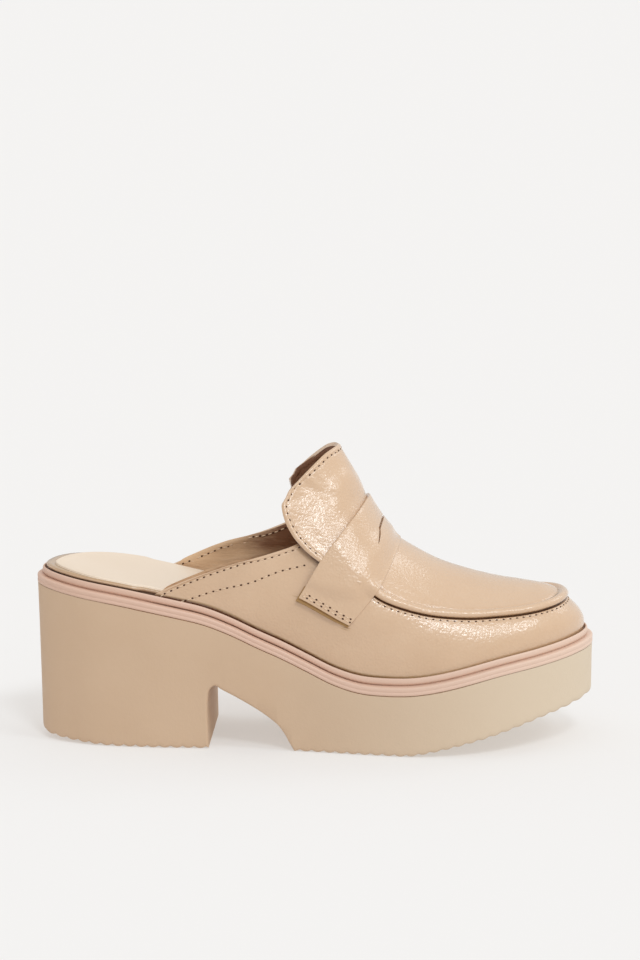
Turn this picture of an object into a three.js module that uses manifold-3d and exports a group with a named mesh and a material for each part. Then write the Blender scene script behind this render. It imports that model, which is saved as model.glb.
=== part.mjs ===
// A penny-loafer mule for the right foot: a backless leather upper with a raised apron seam,
// a stand-up tongue and a slotted saddle strap, on a platform unit with a block heel.
// Millimetres. +X runs from heel to toe, +Y to the inner (medial) side of the foot, +Z up.
import * as THREE from "three";
import { mergeVertices } from "three/addons/utils/BufferGeometryUtils.js";
import Module from "manifold-3d";

const wasm = await Module();
wasm.setup();

// Driving dimensions of the shoe
const LENGTH = 255; // sole, heel back to toe tip
const BALL_WIDTH = 91; // sole, across the ball
const HEEL_HEIGHT = 80.5; // floor to the welt's top at the back of the heel
const PLATFORM_HEIGHT = 36.4; // floor to the welt's top at the ball
const TOE_LIFT = 15; // rise of the welt's top from the ball to the toe tip
const TOE_SPRING = 21; // rise of the tread from the ball to the toe tip
const UPPER_HEIGHT = 95; // last surface above the seat line, at the tongue's top

// Sole unit
const HEEL_BEVEL = 5; // rise of the tread at the back of the heel
const HEEL_DRAFT = 3.6; // how far the heel block's sides lean in from its top to the floor
const HEEL_BACK_DRAFT = 1.8; // the same at the back of the heel
const TOE_DRAFT = 0.4; // the same at the toe
const TREAD_EDGE = 1.2; // chamfer round the tread
const SOLE_TOP_INSET = 0.3; // the sole's top edge, in from the outline
const HEEL_TURN = 0.07; // share of LENGTH in which the back's draft turns into the sides' draft
const DRAFT_START = 0.3; // share of LENGTH where the draft starts to fade towards the toe
const DRAFT_END = 0.95;
const GROOVE_WIDTH = 1.3;
const GROOVE_DEPTH = 1;
const GROOVE_PITCH = 5.4;
const FIRST_GROOVE = 0.055; // share of LENGTH
const LAST_GROOVE = 0.985;
const ARCH_HEIGHT = 30; // top of the notch between heel and platform

// Welt: two rounded ribs that run all the way round
const LOWER_RIB_HEIGHT = 3.8;
const UPPER_RIB_HEIGHT = 3.9;
const UPPER_RIB_INSET = 2.4; // how far the upper rib stands back from the lower one
const WELT_WIDTH = 9.2;

// Leather and footbed
const FEATHER_INSET = 4.2; // from the sole's outline to the outside of the upper
const UPPER_WALL = 2;
const APRON_STEP = 1.5; // apron above the side wall
const SEAM_HEIGHT = 2.9; // rolled apron seam above the side wall
const SEAM_WIDTH = 3.6;
const TONGUE_THICKNESS = 1.8;
const STRAP_THICKNESS = 1.6;
const SLOT_LENGTH = 29; // penny slot, across the strap
const SLOT_WIDTH = 1.4;
const SLOT_EYE = 4.4; // lozenge in the middle of the slot
const INSOLE_THICKNESS = 2.4;
const INSOLE_BEVEL = 1.7;
const HEEL_LEDGE = 3; // how much further in the footbed lies at the back of the heel
const LEDGE_END = 0.13; // share of LENGTH where that has faded out
const CLEARANCE = 0.3; // between pieces that touch

const LEATHER = 0xd9b899;
const SOLE_TAN = 0xcbb08f;
const WELT_PINK = 0xdab39c;
const FOOTBED = 0xe8cfae;

// The sole's outline in plan, from the heel's back along the outer side to the toe and back
// along the inner side. along: share of LENGTH. across: share of BALL_WIDTH, inner side positive.
const OUTLINE = [
  { along: 0.0, across: -0.12 },
  { along: 0.021, across: -0.235 },
  { along: 0.08, across: -0.342 },
  { along: 0.186, across: -0.393 },
  { along: 0.324, across: -0.403 },
  { along: 0.461, across: -0.423 },
  { along: 0.598, across: -0.476 },
  { along: 0.696, across: -0.5 },
  { along: 0.794, across: -0.473 },
  { along: 0.88, across: -0.385 },
  { along: 0.95, across: -0.235 },
  { along: 0.99, across: -0.065 },
  { along: 1.0, across: 0.07 },
  { along: 0.989, across: 0.205 },
  { along: 0.951, across: 0.34 },
  { along: 0.884, across: 0.44 },
  { along: 0.794, across: 0.491 },
  { along: 0.684, across: 0.489 },
  { along: 0.567, across: 0.434 },
  { along: 0.441, across: 0.379 },
  { along: 0.304, across: 0.371 },
  { along: 0.167, across: 0.379 },
  { along: 0.088, across: 0.316 },
  { along: 0.04, across: 0.21 },
  { along: 0.01, across: 0.058 },
];

// The seat line: the welt's top seen from the side. heel: share of the heel's rise over the
// platform. toe: share of TOE_LIFT.
const SEAT = [
  { along: 0.0, heel: 1.0, toe: 0 },
  { along: 0.088, heel: 0.926, toe: 0 },
  { along: 0.168, heel: 0.854, toe: 0 },
  { along: 0.261, heel: 0.747, toe: 0 },
  { along: 0.308, heel: 0.682, toe: 0 },
  { along: 0.354, heel: 0.583, toe: 0 },
  { along: 0.4, heel: 0.46, toe: 0 },
  { along: 0.447, heel: 0.343, toe: 0 },
  { along: 0.493, heel: 0.217, toe: 0 },
  { along: 0.539, heel: 0.094, toe: 0 },
  { along: 0.586, heel: 0.018, toe: 0 },
  { along: 0.637, heel: 0, toe: 0 },
  { along: 0.684, heel: 0, toe: 0.034 },
  { along: 0.735, heel: 0, toe: 0.175 },
  { along: 0.837, heel: 0, toe: 0.585 },
  { along: 0.912, heel: 0, toe: 0.79 },
  { along: 1.0, heel: 0, toe: 1.0 },
];

// The tread seen from the side. heel: share of HEEL_BEVEL. toe: share of TOE_SPRING.
const TREAD = [
  { along: 0.0, heel: 1.0, toe: 0 },
  { along: 0.016, heel: 0.56, toe: 0 },
  { along: 0.047, heel: 0.34, toe: 0 },
  { along: 0.08, heel: 0.18, toe: 0 },
  { along: 0.115, heel: 0.06, toe: 0 },
  { along: 0.15, heel: 0, toe: 0 },
  { along: 0.665, heel: 0, toe: 0 },
  { along: 0.697, heel: 0, toe: 0.05 },
  { along: 0.733, heel: 0, toe: 0.145 },
  { along: 0.777, heel: 0, toe: 0.28 },
  { along: 0.822, heel: 0, toe: 0.43 },
  { along: 0.902, heel: 0, toe: 0.725 },
  { along: 0.945, heel: 0, toe: 0.855 },
  { along: 1.0, heel: 0, toe: 1.0 },
];

// The notch between heel and platform, seen from the side. up: share of ARCH_HEIGHT.
const ARCH = [
  { along: 0.314, up: 0 },
  { along: 0.314, up: 0.86 },
  { along: 0.319, up: 0.96 },
  { along: 0.327, up: 1.0 },
  { along: 0.336, up: 0.95 },
  { along: 0.363, up: 0.83 },
  { along: 0.388, up: 0.71 },
  { along: 0.414, up: 0.57 },
  { along: 0.439, up: 0.4 },
  { along: 0.451, up: 0.26 },
  { along: 0.46, up: 0.12 },
  { along: 0.475, up: 0 },
];

// The last's ribs, from the toe tip backwards. Each rib rises from the feather line to the apron's
// edge and on to the ridge. feather: share of the feather line's half, from the toe tip.
// Along: share of LENGTH. Up: share of UPPER_HEIGHT above the seat line. outer, inner and
// ridgeAcross: share of BALL_WIDTH. wall, shoulder and crown: slopes in degrees from level, of the
// side wall at the feather line, of the side wall at the apron's edge, and of the apron there. The
// last rows are the quarters, which have no ridge.
const RIBS = [
  {
    feather: 0, wall: 103, shoulder: 40, crown: 14,
    edgeAlong: 0.949, edgeUp: 0.166, outer: 0.055, inner: 0.055,
    ridgeAlong: 0.9, ridgeUp: 0.232, ridgeAcross: 0.055,
  },
  {
    feather: 0.051, wall: 103, shoulder: 40, crown: 14,
    edgeAlong: 0.943, edgeUp: 0.166, outer: -0.05, inner: 0.154,
    ridgeAlong: 0.89, ridgeUp: 0.24, ridgeAcross: 0.052,
  },
  {
    feather: 0.091, wall: 103, shoulder: 40, crown: 15,
    edgeAlong: 0.925, edgeUp: 0.166, outer: -0.143, inner: 0.236,
    ridgeAlong: 0.876, ridgeUp: 0.25, ridgeAcross: 0.05,
  },
  {
    feather: 0.15, wall: 102, shoulder: 41, crown: 16,
    edgeAlong: 0.89, edgeUp: 0.17, outer: -0.231, inner: 0.302,
    ridgeAlong: 0.857, ridgeUp: 0.266, ridgeAcross: 0.046,
  },
  {
    feather: 0.215, wall: 101, shoulder: 43, crown: 19,
    edgeAlong: 0.837, edgeUp: 0.188, outer: -0.302, inner: 0.346,
    ridgeAlong: 0.822, ridgeUp: 0.299, ridgeAcross: 0.044,
  },
  {
    feather: 0.29, wall: 100, shoulder: 46, crown: 24,
    edgeAlong: 0.771, edgeUp: 0.231, outer: -0.357, inner: 0.374,
    ridgeAlong: 0.771, ridgeUp: 0.366, ridgeAcross: 0.044,
  },
  {
    feather: 0.37, wall: 99, shoulder: 51, crown: 32,
    edgeAlong: 0.696, edgeUp: 0.3, outer: -0.396, inner: 0.379,
    ridgeAlong: 0.716, ridgeUp: 0.448, ridgeAcross: 0.044,
  },
  {
    feather: 0.451, wall: 98, shoulder: 56, crown: 44,
    edgeAlong: 0.622, edgeUp: 0.38, outer: -0.412, inner: 0.363,
    ridgeAlong: 0.661, ridgeUp: 0.5445, ridgeAcross: 0.042,
  },
  {
    feather: 0.518, wall: 98, shoulder: 56, crown: 52,
    edgeAlong: 0.575, edgeUp: 0.49, outer: -0.379, inner: 0.341,
    ridgeAlong: 0.624, ridgeUp: 0.616, ridgeAcross: 0.038,
  },
  {
    feather: 0.58, wall: 98, shoulder: 54, crown: 52,
    edgeAlong: 0.535, edgeUp: 0.584, outer: -0.335, inner: 0.313,
    ridgeAlong: 0.59, ridgeUp: 0.738, ridgeAcross: 0.03,
  },
  {
    feather: 0.631, wall: 98, shoulder: 54, crown: 58,
    edgeAlong: 0.498, edgeUp: 0.632, outer: -0.302, inner: 0.291,
    ridgeAlong: 0.567, ridgeUp: 0.863, ridgeAcross: 0.02,
  },
  {
    feather: 0.682, wall: 97, shoulder: 56, crown: 60,
    edgeAlong: 0.449, edgeUp: 0.663, outer: -0.275, inner: 0.275,
    ridgeAlong: 0.518, ridgeUp: 1.04, ridgeAcross: 0.01,
  },
  {
    feather: 0.734, wall: 96, shoulder: 75, crown: 60,
    edgeAlong: 0.375, edgeUp: 0.498, outer: -0.319, inner: 0.308,
  },
  {
    feather: 0.785, wall: 95, shoulder: 85, crown: 60,
    edgeAlong: 0.28, edgeUp: 0.316, outer: -0.352, inner: 0.33,
  },
  {
    feather: 0.836, wall: 94, shoulder: 88, crown: 60,
    edgeAlong: 0.186, edgeUp: 0.179, outer: -0.363, inner: 0.341,
  },
];
const LAST_BRIDGE = 11; // the last rib that crosses the ridge
const STEPS_PER_RIB = 2;
const CUT_STEPS = 3; // straight steps between two rows of a cut line

// Cut lines seen from the side. up: share of UPPER_HEIGHT above the seat line.
const COLLAR = [
  { along: 0.13, up: -0.2 },
  { along: 0.202, up: -0.034 },
  { along: 0.233, up: 0.032 },
  { along: 0.27, up: 0.097 },
  { along: 0.318, up: 0.18 },
  { along: 0.391, up: 0.33 },
  { along: 0.468, up: 0.488 },
  { along: 0.51, up: 0.62 },
  { along: 0.545, up: 0.78 },
  { along: 0.58, up: 1.0 },
];
const BEHIND_COLLAR = [
  { along: 0.6, up: 1.5 },
  { along: -0.1, up: 1.5 },
  { along: -0.1, up: -0.2 },
];
const TONGUE_EDGE = [
  { along: 0.585, up: 1.01 },
  { along: 0.55, up: 1.005 },
  { along: 0.533, up: 0.988 },
  { along: 0.518, up: 0.955 },
  { along: 0.499, up: 0.888 },
  { along: 0.463, up: 0.742 },
  { along: 0.446, up: 0.662 },
  { along: 0.4445, up: 0.615 },
  { along: 0.452, up: 0.56 },
  { along: 0.4705, up: 0.51 },
  { along: 0.493, up: 0.48 },
  { along: 0.5185, up: 0.465 },
  { along: 0.545, up: 0.448 },
];
const TONGUE_ROOT = [
  { along: 0.565, up: 0.44 },
  { along: 0.625, up: 0.69 },
  { along: 0.66, up: 0.86 },
];
const STRAP_REAR = [
  { along: 0.478, up: 0.262 },
  { along: 0.515, up: 0.478 },
  { along: 0.59, up: 0.8 },
  { along: 0.63, up: 0.99 },
];
const STRAP_FRONT = [
  { along: 0.70, up: 0.75 },
  { along: 0.652, up: 0.583 },
  { along: 0.6145, up: 0.402 },
  { along: 0.5685, up: 0.236 },
];
const SLOT_ALONG = 0.609; // the slot's middle, on the ridge, as a share of LENGTH

const DEGREE = Math.PI / 180;
const up = new THREE.Vector3(0, 0, 1);

function smooth(low, high, value) {
  const t = THREE.MathUtils.clamp((value - low) / (high - low), 0, 1);
  return t * t * (3 - 2 * t);
}

// A smooth curve through (knots, values), read at any knot value. It stays level at each peak,
// hollow and flat stretch.
function track(knots, values) {
  const slope = (i) => {
    const before = Math.max(i - 1, 0);
    const after = Math.min(i + 1, knots.length - 1);
    const turns = (values[i] - values[before]) * (values[after] - values[i]) <= 0;
    const inside = before < i && after > i;
    if (inside && turns) return 0;
    return (values[after] - values[before]) / (knots[after] - knots[before]);
  };
  return (at) => {
    let i = 0;
    while (i < knots.length - 2 && at > knots[i + 1]) i += 1;
    const width = knots[i + 1] - knots[i];
    const t = THREE.MathUtils.clamp((at - knots[i]) / width, 0, 1);
    const s = 1 - t;
    return (
      values[i] * (1 + 2 * t) * s * s +
      slope(i) * width * t * s * s +
      values[i + 1] * t * t * (3 - 2 * t) -
      slope(i + 1) * width * t * t * s
    );
  };
}

function column(rows, name) {
  return rows.map((row) => row[name]);
}

const seatHeel = track(column(SEAT, "along"), column(SEAT, "heel"));
const seatToe = track(column(SEAT, "along"), column(SEAT, "toe"));
const treadHeel = track(column(TREAD, "along"), column(TREAD, "heel"));
const treadToe = track(column(TREAD, "along"), column(TREAD, "toe"));

function seatHeight(x) {
  const at = x / LENGTH;
  return PLATFORM_HEIGHT + (HEEL_HEIGHT - PLATFORM_HEIGHT) * seatHeel(at) + TOE_LIFT * seatToe(at);
}

function treadHeight(x) {
  const at = x / LENGTH;
  return HEEL_BEVEL * treadHeel(at) + TOE_SPRING * treadToe(at);
}

// The sole's outline as a closed curve, and points that share their distance along the shoe on the
// two sides, so that caps can be laid across it.
const outlineCurve = new THREE.CatmullRomCurve3(
  OUTLINE.map((p) => new THREE.Vector3(p.along * LENGTH, p.across * BALL_WIDTH, 0)),
  true,
  "centripetal",
);
const FINE = 480;
const fineOutline = outlineCurve.getPoints(FINE).slice(0, FINE);

function insetOutline(inset) {
  return fineOutline.map((p, i) => {
    const before = fineOutline[(i + FINE - 1) % FINE];
    const after = fineOutline[(i + 1) % FINE];
    const tangent = after.clone().sub(before).normalize();
    const depth = typeof inset === "function" ? inset(p.x) : inset;
    return new THREE.Vector3(p.x - tangent.y * depth, p.y + tangent.x * depth, 0);
  });
}

// The two sides of an outline, each from the heel's back to the toe tip.
function sidesOf(points) {
  const heel = points.reduce((best, p, i) => (p.x < points[best].x ? i : best), 0);
  const toe = points.reduce((best, p, i) => (p.x > points[best].x ? i : best), 0);
  const walk = (from, to, step) => {
    const side = [points[from]];
    for (let i = from; i !== to; ) {
      i = (i + step + points.length) % points.length;
      side.push(points[i]);
    }
    return side;
  };
  return { outer: walk(heel, toe, 1), inner: walk(heel, toe, -1) };
}

const STATIONS = 46;

// A loop round the shoe: outer side from heel to toe, then inner side back.
function loopAt(inset, height) {
  const sides = sidesOf(insetOutline(inset));
  const place = (side, share) => {
    const first = side[0].x;
    const last = side[side.length - 1].x;
    const x = first + (last - first) * share;
    let i = 0;
    while (i < side.length - 2 && side[i + 1].x < x) i += 1;
    const t = (x - side[i].x) / (side[i + 1].x - side[i].x);
    return side[i].clone().lerp(side[i + 1], THREE.MathUtils.clamp(t, 0, 1));
  };
  const turn = Math.PI / STATIONS;
  const shares = Array.from({ length: STATIONS + 1 }, (_, i) => 0.5 - 0.5 * Math.cos(turn * i));
  const outer = shares.map((s) => place(sides.outer, s));
  const inner = shares.slice(1, -1).map((s) => place(sides.inner, s)).reverse();
  return [...outer, ...inner].map((p) => new THREE.Vector3(p.x, p.y, height(p.x, p.y)));
}

function toSolid(points, faces) {
  const geometry = new THREE.BufferGeometry();
  const numbers = points.flatMap((p) => [p.x, p.y, p.z]);
  geometry.setAttribute("position", new THREE.Float32BufferAttribute(numbers, 3));
  geometry.setIndex(faces.flat());
  return geometrySolid(geometry);
}

function geometrySolid(geometry) {
  geometry.deleteAttribute("normal");
  geometry.deleteAttribute("uv");
  const merged = mergeVertices(geometry, 1e-4);
  const index = merged.index.array;
  const kept = [];
  for (let i = 0; i < index.length; i += 3) {
    const [a, b, c] = [index[i], index[i + 1], index[i + 2]];
    if (a !== b && b !== c && c !== a) kept.push(a, b, c);
  }
  return new wasm.Manifold(
    new wasm.Mesh({
      numProp: 3,
      vertProperties: merged.attributes.position.array,
      triVerts: new Uint32Array(kept),
    }),
  );
}

// Loops stacked from the bottom up, closed by caps laid straight across.
function stackSolid(loops) {
  const size = loops[0].length;
  const points = loops.flat();
  const faces = [];
  for (let level = 0; level < loops.length - 1; level += 1) {
    for (let i = 0; i < size; i += 1) {
      const next = (i + 1) % size;
      const [a, b] = [level * size + i, level * size + next];
      faces.push([a, b, b + size], [a, b + size, a + size]);
    }
  }
  const cap = (base, flip) => {
    for (let i = 0; i < STATIONS; i += 1) {
      const [a, b] = [base + i, base + i + 1];
      const [c, d] = [base + ((size - i) % size), base + ((size - i - 1) % size)];
      faces.push(flip ? [a, c, d] : [a, d, c], flip ? [a, d, b] : [a, b, d]);
    }
  };
  cap(0, true);
  cap((loops.length - 1) * size, false);
  return toSolid(points, faces);
}

// A closed section carried all the way round the outline.
function ringSolid(section) {
  const loops = section.map((s) => loopAt(s.inset, (x) => seatHeight(x) + s.rise));
  const size = loops[0].length;
  const faces = [];
  for (let level = 0; level < loops.length; level += 1) {
    const above = (level + 1) % loops.length;
    for (let i = 0; i < size; i += 1) {
      const next = (i + 1) % size;
      const [a, b] = [level * size + i, level * size + next];
      const [c, d] = [above * size + next, above * size + i];
      faces.push([a, b, c], [a, c, d]);
    }
  }
  return toSolid(loops.flat(), faces);
}

// A wall across the whole shoe whose side view is the given outline, in shares.
function sideCutter(rows, heightOf) {
  const shape = new THREE.Shape(rows.map((row) => new THREE.Vector2(row.along * LENGTH, heightOf(row))));
  const geometry = new THREE.ExtrudeGeometry(shape, { depth: 2 * BALL_WIDTH, bevelEnabled: false });
  geometry.translate(0, 0, -BALL_WIDTH);
  geometry.rotateX(Math.PI / 2);
  return geometrySolid(geometry);
}

function aboveSeat(row) {
  return seatHeight(row.along * LENGTH) + row.up * UPPER_HEIGHT;
}

// Extra rows on the smooth curve through a cut line.
function smoothRows(rows, steps) {
  const points = rows.map((row) => new THREE.Vector3(row.along, row.up, 0));
  const curve = new THREE.CatmullRomCurve3(points, false, "centripetal");
  return curve.getPoints(steps * (rows.length - 1)).map((p) => ({ along: p.x, up: p.y }));
}

// The last's surface
const ribKnots = [];
for (let r = -(RIBS.length - 1); r < RIBS.length; r += 1) ribKnots.push(r);

function acrossRibs(pick) {
  return track(ribKnots, ribKnots.map((r) => pick(RIBS[Math.abs(r)], r < 0)));
}

const featherSides = sidesOf(insetOutline(FEATHER_INSET));
const featherShare = acrossRibs((rib, outer) => (outer ? -rib.feather : rib.feather));
const edgeAlong = acrossRibs((rib) => rib.edgeAlong * LENGTH);
const edgeAcross = acrossRibs((rib, outer) => (outer ? rib.outer : rib.inner) * BALL_WIDTH);
const edgeHeight = acrossRibs((rib) => seatHeight(rib.edgeAlong * LENGTH) + rib.edgeUp * UPPER_HEIGHT);
const bridgeRibs = RIBS.slice(0, LAST_BRIDGE + 1);
const bridgeKnots = bridgeRibs.map((_, i) => i);
const ridgeAlong = track(bridgeKnots, bridgeRibs.map((rib) => rib.ridgeAlong * LENGTH));
const ridgeAcross = track(bridgeKnots, bridgeRibs.map((rib) => rib.ridgeAcross * BALL_WIDTH));
const ridgeHeight = track(
  bridgeKnots,
  bridgeRibs.map((rib) => seatHeight(rib.ridgeAlong * LENGTH) + rib.ridgeUp * UPPER_HEIGHT),
);
const wallSlope = acrossRibs((rib) => rib.wall * DEGREE);
const shoulderSlope = acrossRibs((rib) => rib.shoulder * DEGREE);
const crownSlope = acrossRibs((rib) => rib.crown * DEGREE);

function featherPoint(r) {
  const share = featherShare(r);
  const side = share < 0 ? featherSides.outer : featherSides.inner;
  const lengths = [0];
  const fromToe = side.slice().reverse();
  for (let i = 1; i < fromToe.length; i += 1) {
    lengths.push(lengths[i - 1] + fromToe[i].distanceTo(fromToe[i - 1]));
  }
  const wanted = Math.abs(share) * lengths[lengths.length - 1];
  let i = 0;
  while (i < lengths.length - 2 && lengths[i + 1] < wanted) i += 1;
  const part = (wanted - lengths[i]) / (lengths[i + 1] - lengths[i]);
  const p = fromToe[i].clone().lerp(fromToe[i + 1], part);
  p.z = seatHeight(p.x) + CLEARANCE;
  return p;
}

function edgePoint(r) {
  return new THREE.Vector3(edgeAlong(r), edgeAcross(r), edgeHeight(r));
}

function ridgePoint(r) {
  const at = Math.abs(r);
  return new THREE.Vector3(ridgeAlong(at), ridgeAcross(at), ridgeHeight(at));
}

// Lengths of the curves' handles, as shares of the span between their ends.
const WALL_HANDLE = 0.36;
const CROWN_HANDLE = 0.3;
const RIDGE_HANDLE = 0.42;
const RIB_STEP = 0.05; // how far apart, in ribs, two points are taken to read a slope

// Two Bezier curves that make rib r: the side wall, and the apron up to the ridge.
function ribCurves(r) {
  const feather = featherPoint(r);
  const edge = edgePoint(r);
  const tangent = edgePoint(r + RIB_STEP).sub(edgePoint(r - RIB_STEP));
  const edgeSlope = tangent.z / Math.hypot(tangent.x, tangent.y);
  tangent.setZ(0).normalize();
  const inward = new THREE.Vector3(-tangent.y, tangent.x, 0);
  const rise = edge.clone().sub(feather);
  const reach = WALL_HANDLE * Math.hypot(rise.dot(inward), rise.z);
  const drift = tangent.clone().multiplyScalar(rise.dot(tangent) / 3);
  const slant = (angle) =>
    inward.clone().multiplyScalar(Math.cos(angle)).addScaledVector(up, Math.sin(angle));
  const side = new THREE.CubicBezierCurve3(
    feather,
    feather.clone().addScaledVector(slant(wallSlope(r)), reach).add(drift),
    edge.clone().addScaledVector(slant(shoulderSlope(r)), -reach).sub(drift),
    edge,
  );
  if (Math.abs(r) > LAST_BRIDGE) return { side };
  const ridge = ridgePoint(r);
  const back = ridgePoint(Math.min(Math.abs(r) + RIB_STEP, LAST_BRIDGE));
  const ahead = ridgePoint(Math.max(Math.abs(r) - RIB_STEP, 0));
  const ridgeSlope = (back.z - ahead.z) / (back.x - ahead.x);
  const flat = ridge.clone().sub(edge).setZ(0);
  const span = flat.length();
  flat.normalize();
  const leave = flat.dot(inward) * Math.tan(crownSlope(r)) + flat.dot(tangent) * edgeSlope;
  const arrive = flat.x * ridgeSlope;
  const crown = CROWN_HANDLE * span;
  const top = RIDGE_HANDLE * span;
  const apron = new THREE.CubicBezierCurve3(
    edge,
    edge.clone().addScaledVector(flat, crown).addScaledVector(up, crown * leave),
    ridge.clone().addScaledVector(flat, -top).addScaledVector(up, -top * arrive),
    ridge,
  );
  return { side, apron };
}

// Heights of the apron and of its rolled seam above the last, by distance in from the edge.
const SEAM_SECTION = [
  { in: 0.1, share: 0.8 },
  { in: 0.45, share: 1.0 },
  { in: 0.85, share: 0.62 },
  { in: 1.25, share: 0 },
];
const SIDE_STEPS = 6;
const APRON_STEPS = 6;

// The points of rib r from the feather line to the ridge, each with its place on the rib: reach is
// the distance from the apron's edge, below zero on the side wall.
function ribPoints(r) {
  const { side, apron } = ribCurves(r);
  const sideLength = side.getLength();
  const points = [];
  for (let i = 0; i <= SIDE_STEPS; i += 1) {
    const t = i / SIDE_STEPS;
    points.push({ point: side.getPointAt(t), reach: (t - 1) * sideLength, rib: r });
  }
  if (!apron) return points;
  const apronLength = apron.getLength();
  const ins = SEAM_SECTION.map((s) => s.in * SEAM_WIDTH);
  const last = ins[ins.length - 1];
  for (let i = 1; i <= APRON_STEPS; i += 1) ins.push(last + ((apronLength - last) * i) / APRON_STEPS);
  ins.forEach((reach) => {
    points.push({ point: apron.getPointAt(Math.min(reach / apronLength, 1)), reach, rib: r });
  });
  return points;
}

// A sheet of the last between two ribs, as vertices and triangles. Ribs on the two sides share
// their ridge points, and the toe tip's rib is shared by both sides.
function lastSheet(firstRib, lastRib, lowestReach) {
  const vertices = [];
  const faces = [];
  const keys = new Map();
  const add = (sample) => {
    const key = sample.point.toArray().map((n) => n.toFixed(3)).join();
    if (!keys.has(key)) {
      keys.set(key, vertices.length);
      vertices.push(sample);
    }
    return keys.get(key);
  };
  const count = Math.round((lastRib - firstRib) * STEPS_PER_RIB);
  for (const sign of [-1, 1]) {
    const ribs = [];
    for (let i = 0; i <= count; i += 1) {
      const samples = ribPoints(sign * (firstRib + i / STEPS_PER_RIB));
      ribs.push(samples.map((sample) => ({ reach: sample.reach, id: add(sample) })));
    }
    for (let i = 0; i < count; i += 1) {
      const [ahead, behind] = [ribs[i], ribs[i + 1]];
      for (let j = 0; j < Math.min(ahead.length, behind.length) - 1; j += 1) {
        if (Math.max(ahead[j + 1].reach, behind[j + 1].reach) < lowestReach) continue;
        const [a, b, c, d] = [ahead[j].id, behind[j].id, behind[j + 1].id, ahead[j + 1].id];
        const quad = [[a, b, c], [a, c, d]].filter((f) => new Set(f).size === 3);
        faces.push(...quad.map((f) => (sign < 0 ? [f[0], f[2], f[1]] : f)));
      }
    }
  }
  const used = [...new Set(faces.flat())];
  const renumber = new Map(used.map((id, i) => [id, i]));
  return {
    vertices: used.map((id) => vertices[id]),
    faces: faces.map((f) => f.map((id) => renumber.get(id))),
  };
}

function sheetNormals({ vertices, faces }) {
  const normals = vertices.map(() => new THREE.Vector3());
  for (const [a, b, c] of faces) {
    const pa = vertices[a].point;
    const cross = vertices[b].point.clone().sub(pa).cross(vertices[c].point.clone().sub(pa));
    for (const id of [a, b, c]) normals[id].add(cross);
  }
  return normals.map((n) => n.normalize());
}

// A sheet given an inner and an outer face, each at its own height above the last.
function thicken(sheet, inner, outer) {
  const normals = sheetNormals(sheet);
  const size = sheet.vertices.length;
  const shifted = (height) =>
    sheet.vertices.map((v, i) => v.point.clone().addScaledVector(normals[i], height(v)));
  const points = [...shifted(outer), ...shifted(inner)];
  const faces = sheet.faces.flatMap(([a, b, c]) => [
    [a, b, c],
    [a + size, c + size, b + size],
  ]);
  const edges = new Set(sheet.faces.flatMap(([a, b, c]) => [`${a},${b}`, `${b},${c}`, `${c},${a}`]));
  for (const edge of edges) {
    const [a, b] = edge.split(",").map(Number);
    if (!edges.has(`${b},${a}`)) faces.push([b, a, a + size], [b, a + size, b + size]);
  }
  return toSolid(points, faces);
}

const seamShareAt = track([0, ...column(SEAM_SECTION, "in")], [0, ...column(SEAM_SECTION, "share")]);

// The rolled seam and the apron die out under the strap, where the tongue takes over: the ribs
// where each starts to sink and where it is gone.
const APRON_END = [6.9, 7.5];
const SEAM_END = [6.4, 7.2];

function apronHeight({ reach, rib }) {
  const r = Math.abs(rib);
  const apronShare = 1 - smooth(...APRON_END, r);
  const seamShare = 1 - smooth(...SEAM_END, r);
  if (reach <= 0) return 0;
  const distance = reach / SEAM_WIDTH;
  const seam = seamShareAt(distance);
  const flat = APRON_STEP * smooth(0, SEAM_SECTION[0].in, distance);
  return apronShare * (flat + (SEAM_HEIGHT - APRON_STEP) * seam * seamShare);
}

function upperSolid() {
  const sheet = lastSheet(0, RIBS.length - 1, -Infinity);
  const shell = thicken(sheet, () => -UPPER_WALL, apronHeight);
  const collar = smoothRows(COLLAR, CUT_STEPS);
  return shell.subtract(sideCutter([...collar, ...BEHIND_COLLAR], aboveSeat));
}

const TONGUE_FIRST_RIB = 7;
const TONGUE_REACH = 34; // how far the tongue's sheet goes down the side walls

function tongueSolid() {
  const sheet = lastSheet(TONGUE_FIRST_RIB, LAST_BRIDGE, -TONGUE_REACH);
  const shell = thicken(sheet, () => CLEARANCE, () => CLEARANCE + TONGUE_THICKNESS);
  const outline = [...smoothRows(TONGUE_EDGE, CUT_STEPS), ...TONGUE_ROOT];
  return shell.intersect(sideCutter(outline, aboveSeat));
}

const STRAP_RISE = TONGUE_THICKNESS + CLEARANCE; // how far the strap is lifted by the tongue
const STRAP_FIRST_RIB = 6;
const STRAP_LAST_RIB = 10.5;
const STRAP_REACH = 48; // how far the strap's sheet goes down the side walls
const TONGUE_DROP = 17; // the tongue's lower edge under the strap, below the apron's edge
const TONGUE_DROP_RIB = 9.2; // where it is that low
const STRAP_SLOPE = 8; // width in which the strap comes down beside the tongue

function strapHeight({ reach, rib }) {
  const lowEdge = -TONGUE_DROP * smooth(TONGUE_FIRST_RIB, TONGUE_DROP_RIB, Math.abs(rib)) - 1;
  return CLEARANCE + STRAP_RISE * smooth(lowEdge - STRAP_SLOPE, lowEdge, reach);
}

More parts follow.
